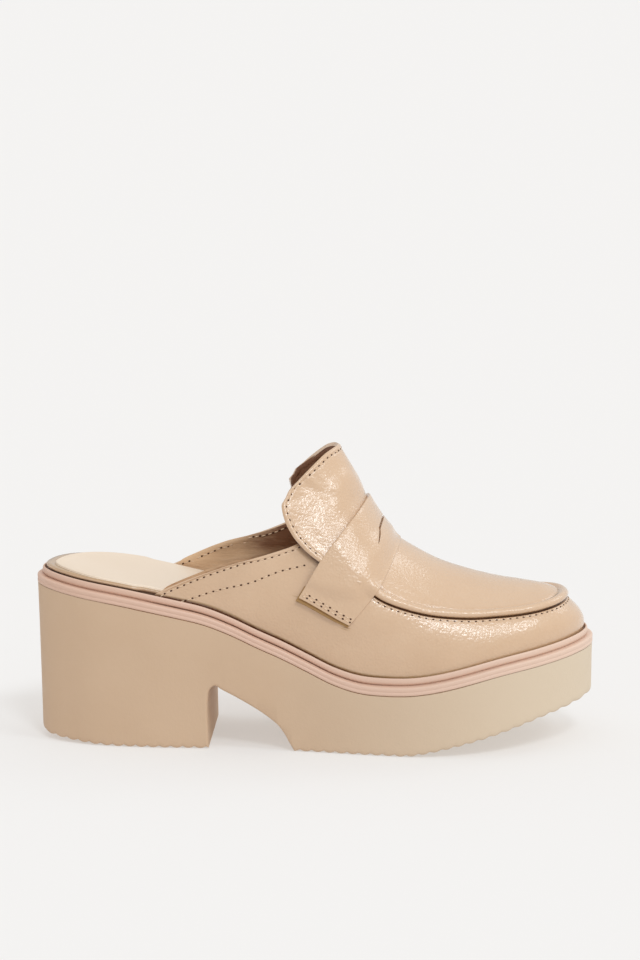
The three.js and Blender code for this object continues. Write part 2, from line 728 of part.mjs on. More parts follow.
function slotCutter() {
  const half = SLOT_LENGTH / 2;
  const shape = new THREE.Shape();
  shape.moveTo(-half, -SLOT_WIDTH / 2);
  shape.lineTo(-SLOT_EYE, -SLOT_WIDTH / 2);
  shape.lineTo(0, -SLOT_EYE / 2);
  shape.lineTo(SLOT_EYE, -SLOT_WIDTH / 2);
  shape.lineTo(half, -SLOT_WIDTH / 2);
  shape.lineTo(half, SLOT_WIDTH / 2);
  shape.lineTo(SLOT_EYE, SLOT_WIDTH / 2);
  shape.lineTo(0, SLOT_EYE / 2);
  shape.lineTo(-SLOT_EYE, SLOT_WIDTH / 2);
  shape.lineTo(-half, SLOT_WIDTH / 2);
  const depth = SLOT_LENGTH;
  const geometry = new THREE.ExtrudeGeometry(shape, { depth, bevelEnabled: false });
  geometry.translate(0, 0, -depth / 2);
  const step = RIB_STEP / 4;
  let at = LAST_BRIDGE;
  while (ridgeAlong(at) < SLOT_ALONG * LENGTH) at -= step;
  const centre = ridgePoint(at);
  const along = ridgePoint(at - RIB_STEP).sub(ridgePoint(at + RIB_STEP)).setY(0).normalize();
  const across = new THREE.Vector3(0, 1, 0);
  const normal = new THREE.Vector3().crossVectors(across, along);
  geometry.applyMatrix4(new THREE.Matrix4().makeBasis(across, along, normal).setPosition(centre));
  return geometrySolid(geometry);
}

function strapSolid() {
  const sheet = lastSheet(STRAP_FIRST_RIB, STRAP_LAST_RIB, -STRAP_REACH);
  const shell = thicken(sheet, strapHeight, (v) => strapHeight(v) + STRAP_THICKNESS);
  return shell.intersect(sideCutter([...STRAP_REAR, ...STRAP_FRONT], aboveSeat)).subtract(slotCutter());
}

function soleSolid() {
  const weltFoot = LOWER_RIB_HEIGHT + UPPER_RIB_HEIGHT + CLEARANCE;
  const draft = (x) => {
    const heel = THREE.MathUtils.lerp(HEEL_BACK_DRAFT, HEEL_DRAFT, smooth(0, HEEL_TURN, x / LENGTH));
    return THREE.MathUtils.lerp(heel, TOE_DRAFT, smooth(DRAFT_START, DRAFT_END, x / LENGTH));
  };
  const body = stackSolid([
    loopAt((x) => draft(x) + TREAD_EDGE, (x) => treadHeight(x)),
    loopAt((x) => draft(x), (x) => treadHeight(x) + TREAD_EDGE),
    loopAt(SOLE_TOP_INSET, (x) => seatHeight(x) - weltFoot),
    loopAt(WELT_WIDTH + CLEARANCE, (x) => seatHeight(x) - weltFoot),
    loopAt(WELT_WIDTH + CLEARANCE, (x) => seatHeight(x)),
  ]);
  const below = ARCH.map((row) => ({ along: row.along, up: row.up || -1 }));
  const cutters = [sideCutter(below, (row) => row.up * ARCH_HEIGHT)];
  const archStart = ARCH[0].along * LENGTH - GROOVE_PITCH / 2;
  const archEnd = ARCH[ARCH.length - 1].along * LENGTH + GROOVE_PITCH / 2;
  for (let x = FIRST_GROOVE * LENGTH; x < LAST_GROOVE * LENGTH; x += GROOVE_PITCH) {
    if (x > archStart && x < archEnd) continue;
    const groove = new THREE.BoxGeometry(GROOVE_WIDTH, 2 * BALL_WIDTH, 2 * GROOVE_DEPTH);
    groove.translate(x, 0, treadHeight(x));
    cutters.push(geometrySolid(groove));
  }
  return cutters.reduce((solid, cutter) => solid.subtract(cutter), body);
}

// The welt's section. in: distance in from the outline. back: share of UPPER_RIB_INSET added to
// it. lower and upper: height, as shares of the two ribs' heights.
const WELT_SECTION = [
  { in: WELT_WIDTH, back: 0, lower: 0, upper: 0 },
  { in: 0.9, back: 0, lower: 0, upper: 0 },
  { in: 0.1, back: 0, lower: 0.25, upper: 0 },
  { in: 0.1, back: 0, lower: 0.65, upper: 0 },
  { in: 1.0, back: 0, lower: 0.95, upper: 0 },
  { in: 0.5, back: 1, lower: 1, upper: 0 },
  { in: 0, back: 1, lower: 1, upper: 0.3 },
  { in: 0.2, back: 1, lower: 1, upper: 0.7 },
  { in: 1.2, back: 1, lower: 1, upper: 0.94 },
  { in: 2, back: 1, lower: 1, upper: 1 },
  { in: WELT_WIDTH, back: 0, lower: 1, upper: 1 },
];

function weltSolid() {
  const section = WELT_SECTION.map((row) => ({
    inset: row.in + row.back * UPPER_RIB_INSET,
    rise: (row.lower - 1) * LOWER_RIB_HEIGHT + (row.upper - 1) * UPPER_RIB_HEIGHT,
  }));
  return ringSolid(section);
}

// The footbed is narrower inside the upper: shares of LENGTH, back from the quarters' end.
const NARROWING_START = 0.07;
const NARROWING_END = 0.01;
const INSOLE_EDGE = 0.35; // share of its thickness where its edge starts to slope in

function insoleSolid() {
  const inside = FEATHER_INSET + UPPER_WALL + CLEARANCE;
  const outside = FEATHER_INSET;
  const quarterEnd = COLLAR[1].along;
  const narrowing = (x) => smooth(quarterEnd - NARROWING_START, quarterEnd - NARROWING_END, x / LENGTH);
  const ledge = (x) => HEEL_LEDGE * (1 - smooth(0, LEDGE_END, x / LENGTH));
  const inset = (x) => THREE.MathUtils.lerp(outside, inside, narrowing(x)) + ledge(x);
  const level = (rise) => (x) => seatHeight(x) + CLEARANCE + rise;
  return stackSolid([
    loopAt(inset, level(0)),
    loopAt(inset, level(INSOLE_THICKNESS * INSOLE_EDGE)),
    loopAt((x) => inset(x) + INSOLE_BEVEL, level(INSOLE_THICKNESS)),
  ]);
}

function finish(color, roughness) {
  return new THREE.MeshStandardMaterial({ color, roughness, metalness: 0 });
}

function pieceOf(name, solid, material) {
  const made = solid.getMesh();
  const geometry = new THREE.BufferGeometry();
  geometry.setAttribute("position", new THREE.Float32BufferAttribute(made.vertProperties, 3));
  geometry.setIndex(new THREE.BufferAttribute(made.triVerts, 1));
  geometry.computeVertexNormals();
  const mesh = new THREE.Mesh(geometry, material);
  mesh.name = name;
  return mesh;
}

const shoe = new THREE.Group();
shoe.add(
  pieceOf("sole_unit", soleSolid(), finish(SOLE_TAN, 0.75)),
  pieceOf("welt", weltSolid(), finish(WELT_PINK, 0.6)),
  pieceOf("insole", insoleSolid(), finish(FOOTBED, 0.65)),
  pieceOf("upper", upperSolid(), finish(LEATHER, 0.35)),
  pieceOf("tongue", tongueSolid(), finish(LEATHER, 0.35)),
  pieceOf("saddle_strap", strapSolid(), finish(LEATHER, 0.35)),
);

// The part's origin is under the middle of its bounding box, on the floor.
const bounds = new THREE.Box3().setFromObject(shoe);
const middle = bounds.getCenter(new THREE.Vector3());
shoe.position.set(-middle.x, -middle.y, -bounds.min.z);

export default shoe;
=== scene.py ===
"""A penny-loafer mule on a platform sole: fine leather, rubber and stitching round a fixed frame."""

import math

import bmesh
import bpy
import numpy as np
from bpy.props import FloatProperty, FloatVectorProperty, IntProperty, PointerProperty
from mathutils import Matrix, Vector
from mathutils.bvhtree import BVHTree


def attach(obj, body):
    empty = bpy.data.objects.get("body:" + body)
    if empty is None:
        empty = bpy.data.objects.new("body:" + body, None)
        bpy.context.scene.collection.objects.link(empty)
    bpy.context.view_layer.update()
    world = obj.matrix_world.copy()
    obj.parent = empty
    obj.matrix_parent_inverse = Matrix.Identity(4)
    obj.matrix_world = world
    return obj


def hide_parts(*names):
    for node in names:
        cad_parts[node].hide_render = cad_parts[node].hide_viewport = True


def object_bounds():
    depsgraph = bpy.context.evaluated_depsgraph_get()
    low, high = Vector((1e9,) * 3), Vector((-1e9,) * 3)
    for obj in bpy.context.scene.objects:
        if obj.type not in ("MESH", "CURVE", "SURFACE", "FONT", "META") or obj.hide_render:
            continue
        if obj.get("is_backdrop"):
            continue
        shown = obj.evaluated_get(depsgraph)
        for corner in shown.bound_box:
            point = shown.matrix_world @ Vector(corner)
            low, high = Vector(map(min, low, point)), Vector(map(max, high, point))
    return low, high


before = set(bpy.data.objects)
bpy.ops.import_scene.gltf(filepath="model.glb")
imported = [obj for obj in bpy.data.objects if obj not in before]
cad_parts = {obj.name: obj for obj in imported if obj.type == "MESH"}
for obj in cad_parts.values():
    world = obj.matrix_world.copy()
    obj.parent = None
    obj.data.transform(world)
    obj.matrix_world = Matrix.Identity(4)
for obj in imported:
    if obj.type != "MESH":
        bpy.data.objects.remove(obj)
CAD_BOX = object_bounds()

bl_info = {
    "name": "Penny Loafer Mule",
    "version": (1, 0, 0),
    "blender": (4, 5, 0),
    "location": "View3D > Sidebar > Loafer",
    "description": "Dresses the frame of a platform penny-loafer mule in leather and rubber",
    "category": "Add Mesh",
}

BODY = "root"
MM = 0.001

# Driving sizes of the shoe, in metres, as in the frame
LENGTH = 0.255
BALL_WIDTH = 0.091
HEEL_HEIGHT = 0.0805
PLATFORM_HEIGHT = 0.0364
TOE_LIFT = 0.015
TOE_SPRING = 0.021
UPPER_HEIGHT = 0.095
HEEL_BEVEL = 0.005
HEEL_DRAFT = 0.0036
HEEL_BACK_DRAFT = 0.0018
TOE_DRAFT = 0.0004
FIRST_GROOVE = 0.055
GROOVE_PITCH = 0.0054
ARCH_HEIGHT = 0.03
LOWER_RIB_HEIGHT = 0.0038
UPPER_RIB_HEIGHT = 0.0039
WELT_WIDTH = 0.0092
FEATHER_INSET = 0.0042
APRON_STEP = 0.0015
STRAP_RISE = 0.0021
CLEARANCE = 0.0003
HEEL_LEDGE = 0.003
LEDGE_END = 0.13
MIDDLE = Vector((LENGTH / 2, -0.00015, 0.0))

# Outline of the sole in plan: along as a share of LENGTH, across as a share of BALL_WIDTH
OUTLINE = np.array([
    (0.0, -0.12), (0.021, -0.235), (0.08, -0.342), (0.186, -0.393), (0.324, -0.403), (0.461, -0.423),
    (0.598, -0.476), (0.696, -0.5), (0.794, -0.473), (0.88, -0.385), (0.95, -0.235), (0.99, -0.065),
    (1.0, 0.07), (0.989, 0.205), (0.951, 0.34), (0.884, 0.44), (0.794, 0.491), (0.684, 0.489),
    (0.567, 0.434), (0.441, 0.379), (0.304, 0.371), (0.167, 0.379), (0.088, 0.316), (0.04, 0.21),
    (0.01, 0.058),
])

# Seat line: along, share of the heel's rise, share of TOE_LIFT
SEAT = np.array([
    (0.0, 1.0, 0), (0.088, 0.926, 0), (0.168, 0.854, 0), (0.261, 0.747, 0), (0.308, 0.682, 0),
    (0.354, 0.583, 0), (0.4, 0.46, 0), (0.447, 0.343, 0), (0.493, 0.217, 0), (0.539, 0.094, 0),
    (0.586, 0.018, 0), (0.637, 0, 0), (0.684, 0, 0.034), (0.735, 0, 0.175), (0.837, 0, 0.585),
    (0.912, 0, 0.79), (1.0, 0, 1.0),
])

# Tread line: along, share of HEEL_BEVEL, share of TOE_SPRING
TREAD = np.array([
    (0.0, 1.0, 0), (0.016, 0.56, 0), (0.047, 0.34, 0), (0.08, 0.18, 0), (0.115, 0.06, 0),
    (0.15, 0, 0), (0.665, 0, 0), (0.697, 0, 0.05), (0.733, 0, 0.145), (0.777, 0, 0.28),
    (0.822, 0, 0.43), (0.902, 0, 0.725), (0.945, 0, 0.855), (1.0, 0, 1.0),
])

# Notch between heel and platform: along, share of ARCH_HEIGHT
ARCH = np.array([
    (0.314, -0.1), (0.314, 0.86), (0.319, 0.96), (0.327, 1.0), (0.336, 0.95), (0.363, 0.83),
    (0.388, 0.71), (0.414, 0.57), (0.439, 0.4), (0.451, 0.26), (0.46, 0.12), (0.475, -0.1),
])

# Ribs of the last, from the toe tip backwards
RIB_COLUMNS = (
    "feather", "wall", "shoulder", "crown", "edge_along", "edge_up", "outer", "inner",
    "ridge_along", "ridge_up", "ridge_across",
)
RIBS = np.array([
    (0.0, 103, 40, 14, 0.949, 0.166, 0.055, 0.055, 0.9, 0.232, 0.055),
    (0.051, 103, 40, 14, 0.943, 0.166, -0.05, 0.154, 0.89, 0.24, 0.052),
    (0.091, 103, 40, 15, 0.925, 0.166, -0.143, 0.236, 0.876, 0.25, 0.05),
    (0.15, 102, 41, 16, 0.89, 0.17, -0.231, 0.302, 0.857, 0.266, 0.046),
    (0.215, 101, 43, 19, 0.837, 0.188, -0.302, 0.346, 0.822, 0.299, 0.044),
    (0.29, 100, 46, 24, 0.771, 0.231, -0.357, 0.374, 0.771, 0.366, 0.044),
    (0.37, 99, 51, 32, 0.696, 0.3, -0.396, 0.379, 0.716, 0.448, 0.044),
    (0.451, 98, 56, 44, 0.622, 0.38, -0.412, 0.363, 0.661, 0.5445, 0.042),
    (0.518, 98, 56, 52, 0.575, 0.49, -0.379, 0.341, 0.624, 0.616, 0.038),
    (0.58, 98, 54, 52, 0.535, 0.584, -0.335, 0.313, 0.59, 0.738, 0.03),
    (0.631, 98, 54, 58, 0.498, 0.632, -0.302, 0.291, 0.567, 0.863, 0.02),
    (0.682, 97, 56, 60, 0.449, 0.663, -0.275, 0.275, 0.518, 1.04, 0.01),
    (0.734, 96, 75, 60, 0.375, 0.498, -0.319, 0.308, 0.518, 1.04, 0.01),
    (0.785, 95, 85, 60, 0.28, 0.316, -0.352, 0.33, 0.518, 1.04, 0.01),
    (0.836, 94, 88, 60, 0.186, 0.179, -0.363, 0.341, 0.518, 1.04, 0.01),
])
LAST_BRIDGE = 11
LAST_RIB = len(RIBS) - 1

# Cut lines seen from the side: along, share of UPPER_HEIGHT above the seat line
COLLAR = np.array([
    (0.13, -0.2), (0.202, -0.034), (0.233, 0.032), (0.27, 0.097), (0.318, 0.18), (0.391, 0.33),
    (0.468, 0.488), (0.51, 0.62), (0.545, 0.78), (0.58, 1.0),
])
COLLAR_INNER = np.array([
    (0.13, -0.2), (0.202, -0.035), (0.233, 0.02), (0.27, 0.084), (0.318, 0.171), (0.391, 0.317),
    (0.468, 0.5), (0.51, 0.62), (0.545, 0.78), (0.58, 1.0),
])
TONGUE_EDGE = np.array([
    (0.585, 1.01), (0.55, 1.005), (0.533, 0.988), (0.518, 0.955), (0.499, 0.888), (0.463, 0.742),
    (0.446, 0.662), (0.4445, 0.615), (0.452, 0.56), (0.4705, 0.51), (0.493, 0.48),
    (0.5185, 0.465), (0.545, 0.448), (0.58, 0.43),
])
STRAP_REAR = np.array([(0.4, -0.19), (0.478, 0.262), (0.515, 0.478), (0.59, 0.8), (0.63, 0.99)])
STRAP_FRONT = np.array([(0.52, 0.06), (0.5685, 0.236), (0.6145, 0.402), (0.652, 0.583), (0.7, 0.75)])
SLOT_ALONG = 0.609

OUTER, INNER = 0, 1
SIDES = {OUTER: -1.0, INNER: 1.0}


def smooth(low, high, value):
    t = np.clip((value - low) / (high - low), 0.0, 1.0)
    return t * t * (3 - 2 * t)


def track(knots, values):
    """A smooth curve through the values that stays level at each peak, hollow and flat stretch."""
    knots = np.asarray(knots, float)
    values = np.asarray(values, float)
    slopes = np.gradient(values)
    last = len(knots) - 1
    for i in range(last + 1):
        before, after = max(i - 1, 0), min(i + 1, last)
        slopes[i] = (values[after] - values[before]) / (knots[after] - knots[before])
        turns = (values[i] - values[before]) * (values[after] - values[i]) <= 0
        if 0 < i < last and turns:
            slopes[i] = 0.0

    def read(at):
        at = np.asarray(at, float)
        i = np.clip(np.searchsorted(knots, at, side="left") - 1, 0, last - 1)
        width = knots[i + 1] - knots[i]
        t = np.clip((at - knots[i]) / width, 0, 1)
        s = 1 - t
        return (
            values[i] * (1 + 2 * t) * s * s
            + slopes[i] * width * t * s * s
            + values[i + 1] * t * t * (3 - 2 * t)
            - slopes[i + 1] * width * t * t * s
        )

    return read


def rounded(points, steps, closed=False):
    """Points on the centripetal curve through a list of points."""
    points = np.asarray(points, float)
    count = len(points)
    spans = count if closed else count - 1
    out = []
    for k in range(spans):
        p1, p2 = points[k], points[(k + 1) % count]
        p0 = points[k - 1] if closed or k > 0 else 2 * points[0] - points[1]
        p3 = points[(k + 2) % count] if closed or k + 2 < count else 2 * points[-1] - points[-2]
        d0, d1, d2 = (math.sqrt(np.linalg.norm(b - a)) for a, b in ((p0, p1), (p1, p2), (p2, p3)))
        m1 = ((p1 - p0) / d0 - (p2 - p0) / (d0 + d1) + (p2 - p1) / d1) * d1
        m2 = ((p2 - p1) / d1 - (p3 - p1) / (d1 + d2) + (p3 - p2) / d2) * d1
        t = (np.arange(steps) / steps)[:, None]
        out.append(p1 + m1 * t + (3 * (p2 - p1) - 2 * m1 - m2) * t**2 + (2 * (p1 - p2) + m1 + m2) * t**3)
    if not closed:
        out.append(points[-1:])
    return np.vstack(out)


seat_heel, seat_toe = track(SEAT[:, 0], SEAT[:, 1]), track(SEAT[:, 0], SEAT[:, 2])
tread_heel, tread_toe = track(TREAD[:, 0], TREAD[:, 1]), track(TREAD[:, 0], TREAD[:, 2])


def seat_height(x):
    at = x / LENGTH
    return PLATFORM_HEIGHT + (HEEL_HEIGHT - PLATFORM_HEIGHT) * seat_heel(at) + TOE_LIFT * seat_toe(at)


def tread_height(x):
    at = x / LENGTH
    return HEEL_BEVEL * tread_heel(at) + TOE_SPRING * tread_toe(at)


FINE_OUTLINE = rounded(OUTLINE * (LENGTH, BALL_WIDTH), 20, closed=True)


def inset_outline(inset, base=FINE_OUTLINE):
    """The outline moved in by a distance, or by a function of the distance from the heel."""
    tangent = np.roll(base, -1, axis=0) - np.roll(base, 1, axis=0)
    tangent /= np.linalg.norm(tangent, axis=1, keepdims=True)
    depth = inset(base[:, 0]) if callable(inset) else np.full(len(base), float(inset))
    return base + np.stack([-tangent[:, 1] * depth, tangent[:, 0] * depth], axis=1)


def sides_of(points):
    """The outer and inner side of an outline, each from the heel's back to the toe tip."""
    heel, toe = int(np.argmin(points[:, 0])), int(np.argmax(points[:, 0]))
    outer = np.roll(points, -heel, axis=0)[: (toe - heel) % len(points) + 1]
    inner = np.roll(points[::-1], heel + 1, axis=0)[: (heel - toe) % len(points) + 1]
    return outer, inner


class Last:
    """The last's surface as a dense table of points over rib number and place on the rib."""

    STEP = 0.02
    SAMPLES = 80

    def __init__(self):
        self.ribs = np.arange(0, LAST_RIB + self.STEP / 2, self.STEP)
        self.points, self.normals, self.wall_length, self.apron_length = {}, {}, {}, {}
        for side, sign in SIDES.items():
            self.build(side, sign)
        self.share_normals()

    def share_normals(self):
        """Gives both sides the same normals where they meet, along the ridge and at the toe."""
        bridge = int(round(LAST_BRIDGE / self.STEP))
        for side in SIDES:
            self.normals[side][0, -1] = self.normals[side][2, -1]
        for part in ((slice(0, bridge + 1), -1), (0, slice(None))):
            shared = self.normals[OUTER][part] + self.normals[INNER][part]
            shared /= np.linalg.norm(shared, axis=-1, keepdims=True)
            for side in SIDES:
                self.normals[side][part] = shared

    def build(self, side, sign):
        knots = np.arange(-LAST_RIB, LAST_RIB + 1)
        rows = np.abs(knots)
        columns = {name: RIBS[:, i] for i, name in enumerate(RIB_COLUMNS)}
        r = sign * self.ribs

        def across(values):
            return track(knots, values)

        edge_x = across(columns["edge_along"][rows] * LENGTH)
        edge_y = across(np.where(knots < 0, columns["outer"][rows], columns["inner"][rows]) * BALL_WIDTH)
        edge_z = across(
            seat_height(columns["edge_along"][rows] * LENGTH) + columns["edge_up"][rows] * UPPER_HEIGHT
        )
        slopes = {n: np.radians(across(columns[n][rows])(r)) for n in ("wall", "shoulder", "crown")}

        def edge_at(at):
            return np.stack([edge_x(at), edge_y(at), edge_z(at)], axis=-1)

        share = np.abs(across(np.where(knots < 0, -columns["feather"][rows], columns["feather"][rows]))(r))
        outline = sides_of(inset_outline(FEATHER_INSET))[side][::-1]
        walked = np.concatenate([[0], np.cumsum(np.linalg.norm(np.diff(outline, axis=0), axis=1))])
        wanted = share * walked[-1]
        feather = np.stack([np.interp(wanted, walked, outline[:, k]) for k in (0, 1)], axis=-1)
        feather = np.column_stack([feather, seat_height(feather[:, 0]) + CLEARANCE])

        step = 0.05
        edge = edge_at(r)
        tangent = edge_at(r + step) - edge_at(r - step)
        flat_length = np.linalg.norm(tangent[:, :2], axis=1, keepdims=True)
        edge_slope = tangent[:, 2:] / flat_length
        tangent = np.column_stack([tangent[:, :2] / flat_length, np.zeros(len(r))])
        inward = np.column_stack([-tangent[:, 1], tangent[:, 0], np.zeros(len(r))])
        upward = np.array([0, 0, 1.0])
        rise = edge - feather

        def dot(a, b):
            return np.sum(a * b, axis=1, keepdims=True)

        reach = 0.36 * np.hypot(dot(rise, inward), rise[:, 2:])
        drift = tangent * dot(rise, tangent) / 3

        def slant(angle):
            return inward * np.cos(angle)[:, None] + upward * np.sin(angle)[:, None]

        wall = (
            feather,
            feather + slant(slopes["wall"]) * reach + drift,
            edge - slant(slopes["shoulder"]) * reach - drift,
            edge,
        )
        bridge = np.arange(LAST_BRIDGE + 1)
        ridge_x = track(bridge, columns["ridge_along"][bridge] * LENGTH)
        ridge_y = track(bridge, columns["ridge_across"][bridge] * BALL_WIDTH)
        seat = seat_height(columns["ridge_along"][bridge] * LENGTH)
        ridge_z = track(bridge, seat + columns["ridge_up"][bridge] * UPPER_HEIGHT)

        def ridge_at(at):
            return np.stack([ridge_x(at), ridge_y(at), ridge_z(at)], axis=-1)

        place = np.minimum(self.ribs, LAST_BRIDGE)
        ridge = ridge_at(place)
        back = ridge_at(np.minimum(place + step, LAST_BRIDGE))
        ahead = ridge_at(np.maximum(place - step, 0))
        ridge_slope = (back[:, 2:] - ahead[:, 2:]) / (back[:, :1] - ahead[:, :1])
        flat = (ridge - edge) * (1, 1, 0)
        span = np.linalg.norm(flat, axis=1, keepdims=True)
        flat = flat / span
        leave = dot(flat, inward) * np.tan(slopes["crown"])[:, None] + dot(flat, tangent) * edge_slope
        arrive = flat[:, :1] * ridge_slope
        apron = (
            edge,
            edge + (flat + upward * leave) * 0.3 * span,
            ridge - (flat + upward * arrive) * 0.42 * span,
            ridge,
        )
        wall_points, self.wall_length[side] = self.even(wall)
        apron_points, self.apron_length[side] = self.even(apron)
        points = np.concatenate([wall_points, apron_points[:, 1:]], axis=1)
        along = np.gradient(points, axis=0)
        up_rib = np.gradient(points, axis=1)
        normal = np.cross(along, up_rib) * sign
        normal /= np.linalg.norm(normal, axis=2, keepdims=True) + 1e-12
        self.points[side], self.normals[side] = points, normal

    def even(self, curve):
        """Points at even steps of length along each Bezier curve, and the curves' lengths."""
        t = np.linspace(0, 1, 4 * self.SAMPLES + 1)[None, :, None]
        a, b, c, d = (np.asarray(p)[:, None, :] for p in curve)
        dense = a * (1 - t) ** 3 + 3 * b * t * (1 - t) ** 2 + 3 * c * t**2 * (1 - t) + d * t**3
        walked = np.cumsum(np.linalg.norm(np.diff(dense, axis=1), axis=2), axis=1)
        walked = np.concatenate([np.zeros((len(walked), 1)), walked], axis=1)
        out = np.empty((len(dense), self.SAMPLES + 1, 3))
        for i, row in enumerate(dense):
            wanted = np.linspace(0, walked[i, -1], self.SAMPLES + 1)
            for k in range(3):
                out[i, :, k] = np.interp(wanted, walked[i], row[:, k])
        return out, walked[:, -1]

    def read(self, table, side, rib, place):
        """A table's value at a rib number and a place: 0 feather line, 1 apron edge, 2 ridge."""
        grid = table[side]
        i = np.clip(rib / self.STEP, 0, grid.shape[0] - 1.0001)
        j = np.clip(place * self.SAMPLES, 0, grid.shape[1] - 1.0001)
        i0, j0 = i.astype(int), j.astype(int)
        fi, fj = (i - i0)[..., None], (j - j0)[..., None]
        return (
            grid[i0, j0] * (1 - fi) * (1 - fj)
            + grid[i0 + 1, j0] * fi * (1 - fj)
            + grid[i0, j0 + 1] * (1 - fi) * fj
            + grid[i0 + 1, j0 + 1] * fi * fj
        )

    def at(self, side, rib, place, lift=0.0):
        rib, place = np.broadcast_arrays(np.asarray(rib, float), np.asarray(place, float))
        normal = self.read(self.normals, side, rib, place)
        normal = normal / np.linalg.norm(normal, axis=-1, keepdims=True)
        lift = np.broadcast_to(np.asarray(lift, float), rib.shape)
        return self.read(self.points, side, rib, place) + normal * lift[..., None]

    def place_of(self, side, rib, reach):
        """The place on a rib at a distance from the apron's edge, below zero on the side wall."""
        wall = np.interp(rib, self.ribs, self.wall_length[side])
        apron = np.interp(rib, self.ribs, self.apron_length[side])
        return 1 + np.where(reach < 0, reach / wall, reach / apron)

    def reach_of(self, side, rib, place):
        wall = np.interp(rib, self.ribs, self.wall_length[side])
        apron = np.interp(rib, self.ribs, self.apron_length[side])
        return (place - 1) * np.where(place < 1, wall, apron)


def side_view(rows, steps=6, curved=True):
    """A cut line in metres, seen from the side."""
    line = rounded(rows, steps) if curved else np.asarray(rows, float)
    x = line[:, 0] * LENGTH
    return np.stack([x, seat_height(x) + line[:, 1] * UPPER_HEIGHT], axis=1)


def inside(polygon, points):
    """Whether points of the side view lie in a closed outline."""
    x, z = points[..., 0], points[..., 1]
    result = np.zeros(x.shape, bool)
    for (x0, z0), (x1, z1) in zip(polygon, np.roll(polygon, -1, axis=0)):
        spans = (z0 > z) != (z1 > z)
        with np.errstate(divide="ignore", invalid="ignore"):
            crossing = x0 + (z - z0) * (x1 - x0) / (z1 - z0)
        result ^= spans & (x < crossing)
    return result


def last_inside(side, walk, region, steps=260):
    """For each walk over the last, from share 0 to 1, the share at which it leaves a region."""

    def within(share):
        return inside(region, LAST.at(side, *walk(share))[..., [0, 2]])

    size = np.broadcast_arrays(*walk(0.0))[0].shape
    low, high = np.zeros(size), np.ones(size)
    walking = within(np.zeros(size))
    for step in range(1, steps + 1):
        still = within(np.full(size, step / steps))
        low = np.where(walking & ~still, (step - 1) / steps, low)
        high = np.where(walking & ~still, step / steps, high)
        low = np.where(walking & still & (step == steps), 1.0, low)
        walking &= still
    for _ in range(14):
        middle = (low + high) / 2
        still = within(middle)
        low, high = np.where(still, middle, low), np.where(still, high, middle)
    return (low + high) / 2


LAST = Last()


def grid_mesh(across, along, place):
    """A bmesh grid of across by along faces, with each vertex put where place(i, j) says."""
    bm = bmesh.new()
    bmesh.ops.create_grid(bm, x_segments=across, y_segments=along, size=0.5)
    flat = np.array([v.co[:2] for v in bm.verts])
    i = np.rint((flat[:, 0] + 0.5) * across).astype(int)
    j = np.rint((flat[:, 1] + 0.5) * along).astype(int)
    spots = place(i, j) - np.array(MIDDLE)
    for vert, spot in zip(bm.verts, spots):
        vert.co = spot
    return bm, i, j


def close_up(bm, distance=1e-6):
    bmesh.ops.remove_doubles(bm, verts=bm.verts, dist=distance)
    bmesh.ops.dissolve_degenerate(bm, dist=distance / 10, edges=bm.edges)
    bmesh.ops.recalc_face_normals(bm, faces=bm.faces)


def add_painted_shade(bm, amounts):
    """Notes on each vertex how much painted shade darkens its colour, as in a crease, a gap or under an
    edge.
    """
    layer = bm.verts.layers.float.new("shade")
    for vert, amount in zip(bm.verts, amounts):
        vert[layer] = float(amount)


def add_piece(name, bm, materials, node=None):
    """Makes an object of a bmesh, with its materials, that rides on the shoe."""
    for face in bm.faces:
        face.smooth = True
    mesh = bpy.data.meshes.new(name)
    bm.to_mesh(mesh)
    bm.free()
    for material in materials:
        mesh.materials.append(material)
    piece = bpy.data.objects.new(name, mesh)
    bpy.context.scene.collection.objects.link(piece)
    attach(piece, BODY)
    if node:
        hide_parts(node)
    return piece


def add_wall(piece, thickness, lining=1, edge=2, rounding=0.0004, group=""):
    """Gives a sheet its thickness inwards, with its own lining and cut edge, softly rounded."""
    solid = piece.modifiers.new("wall", "SOLIDIFY")
    solid.thickness = thickness
    solid.offset = -1
    solid.material_offset = lining
    solid.material_offset_rim = edge
    solid.vertex_group = group
    bevel = piece.modifiers.new("edge", "BEVEL")
    bevel.limit_method = "ANGLE"
    bevel.angle_limit = math.radians(50)
    bevel.width = rounding
    bevel.segments = 3
    bevel.use_clamp_overlap = True


# Finishes

def linear(colour):
    """A display colour from 0 to 255 as the shader's own linear colour."""
    values = [c / 255 for c in colour]
    return [v / 12.92 if v <= 0.04045 else ((v + 0.055) / 1.055) ** 2.4 for v in values] + [1.0]


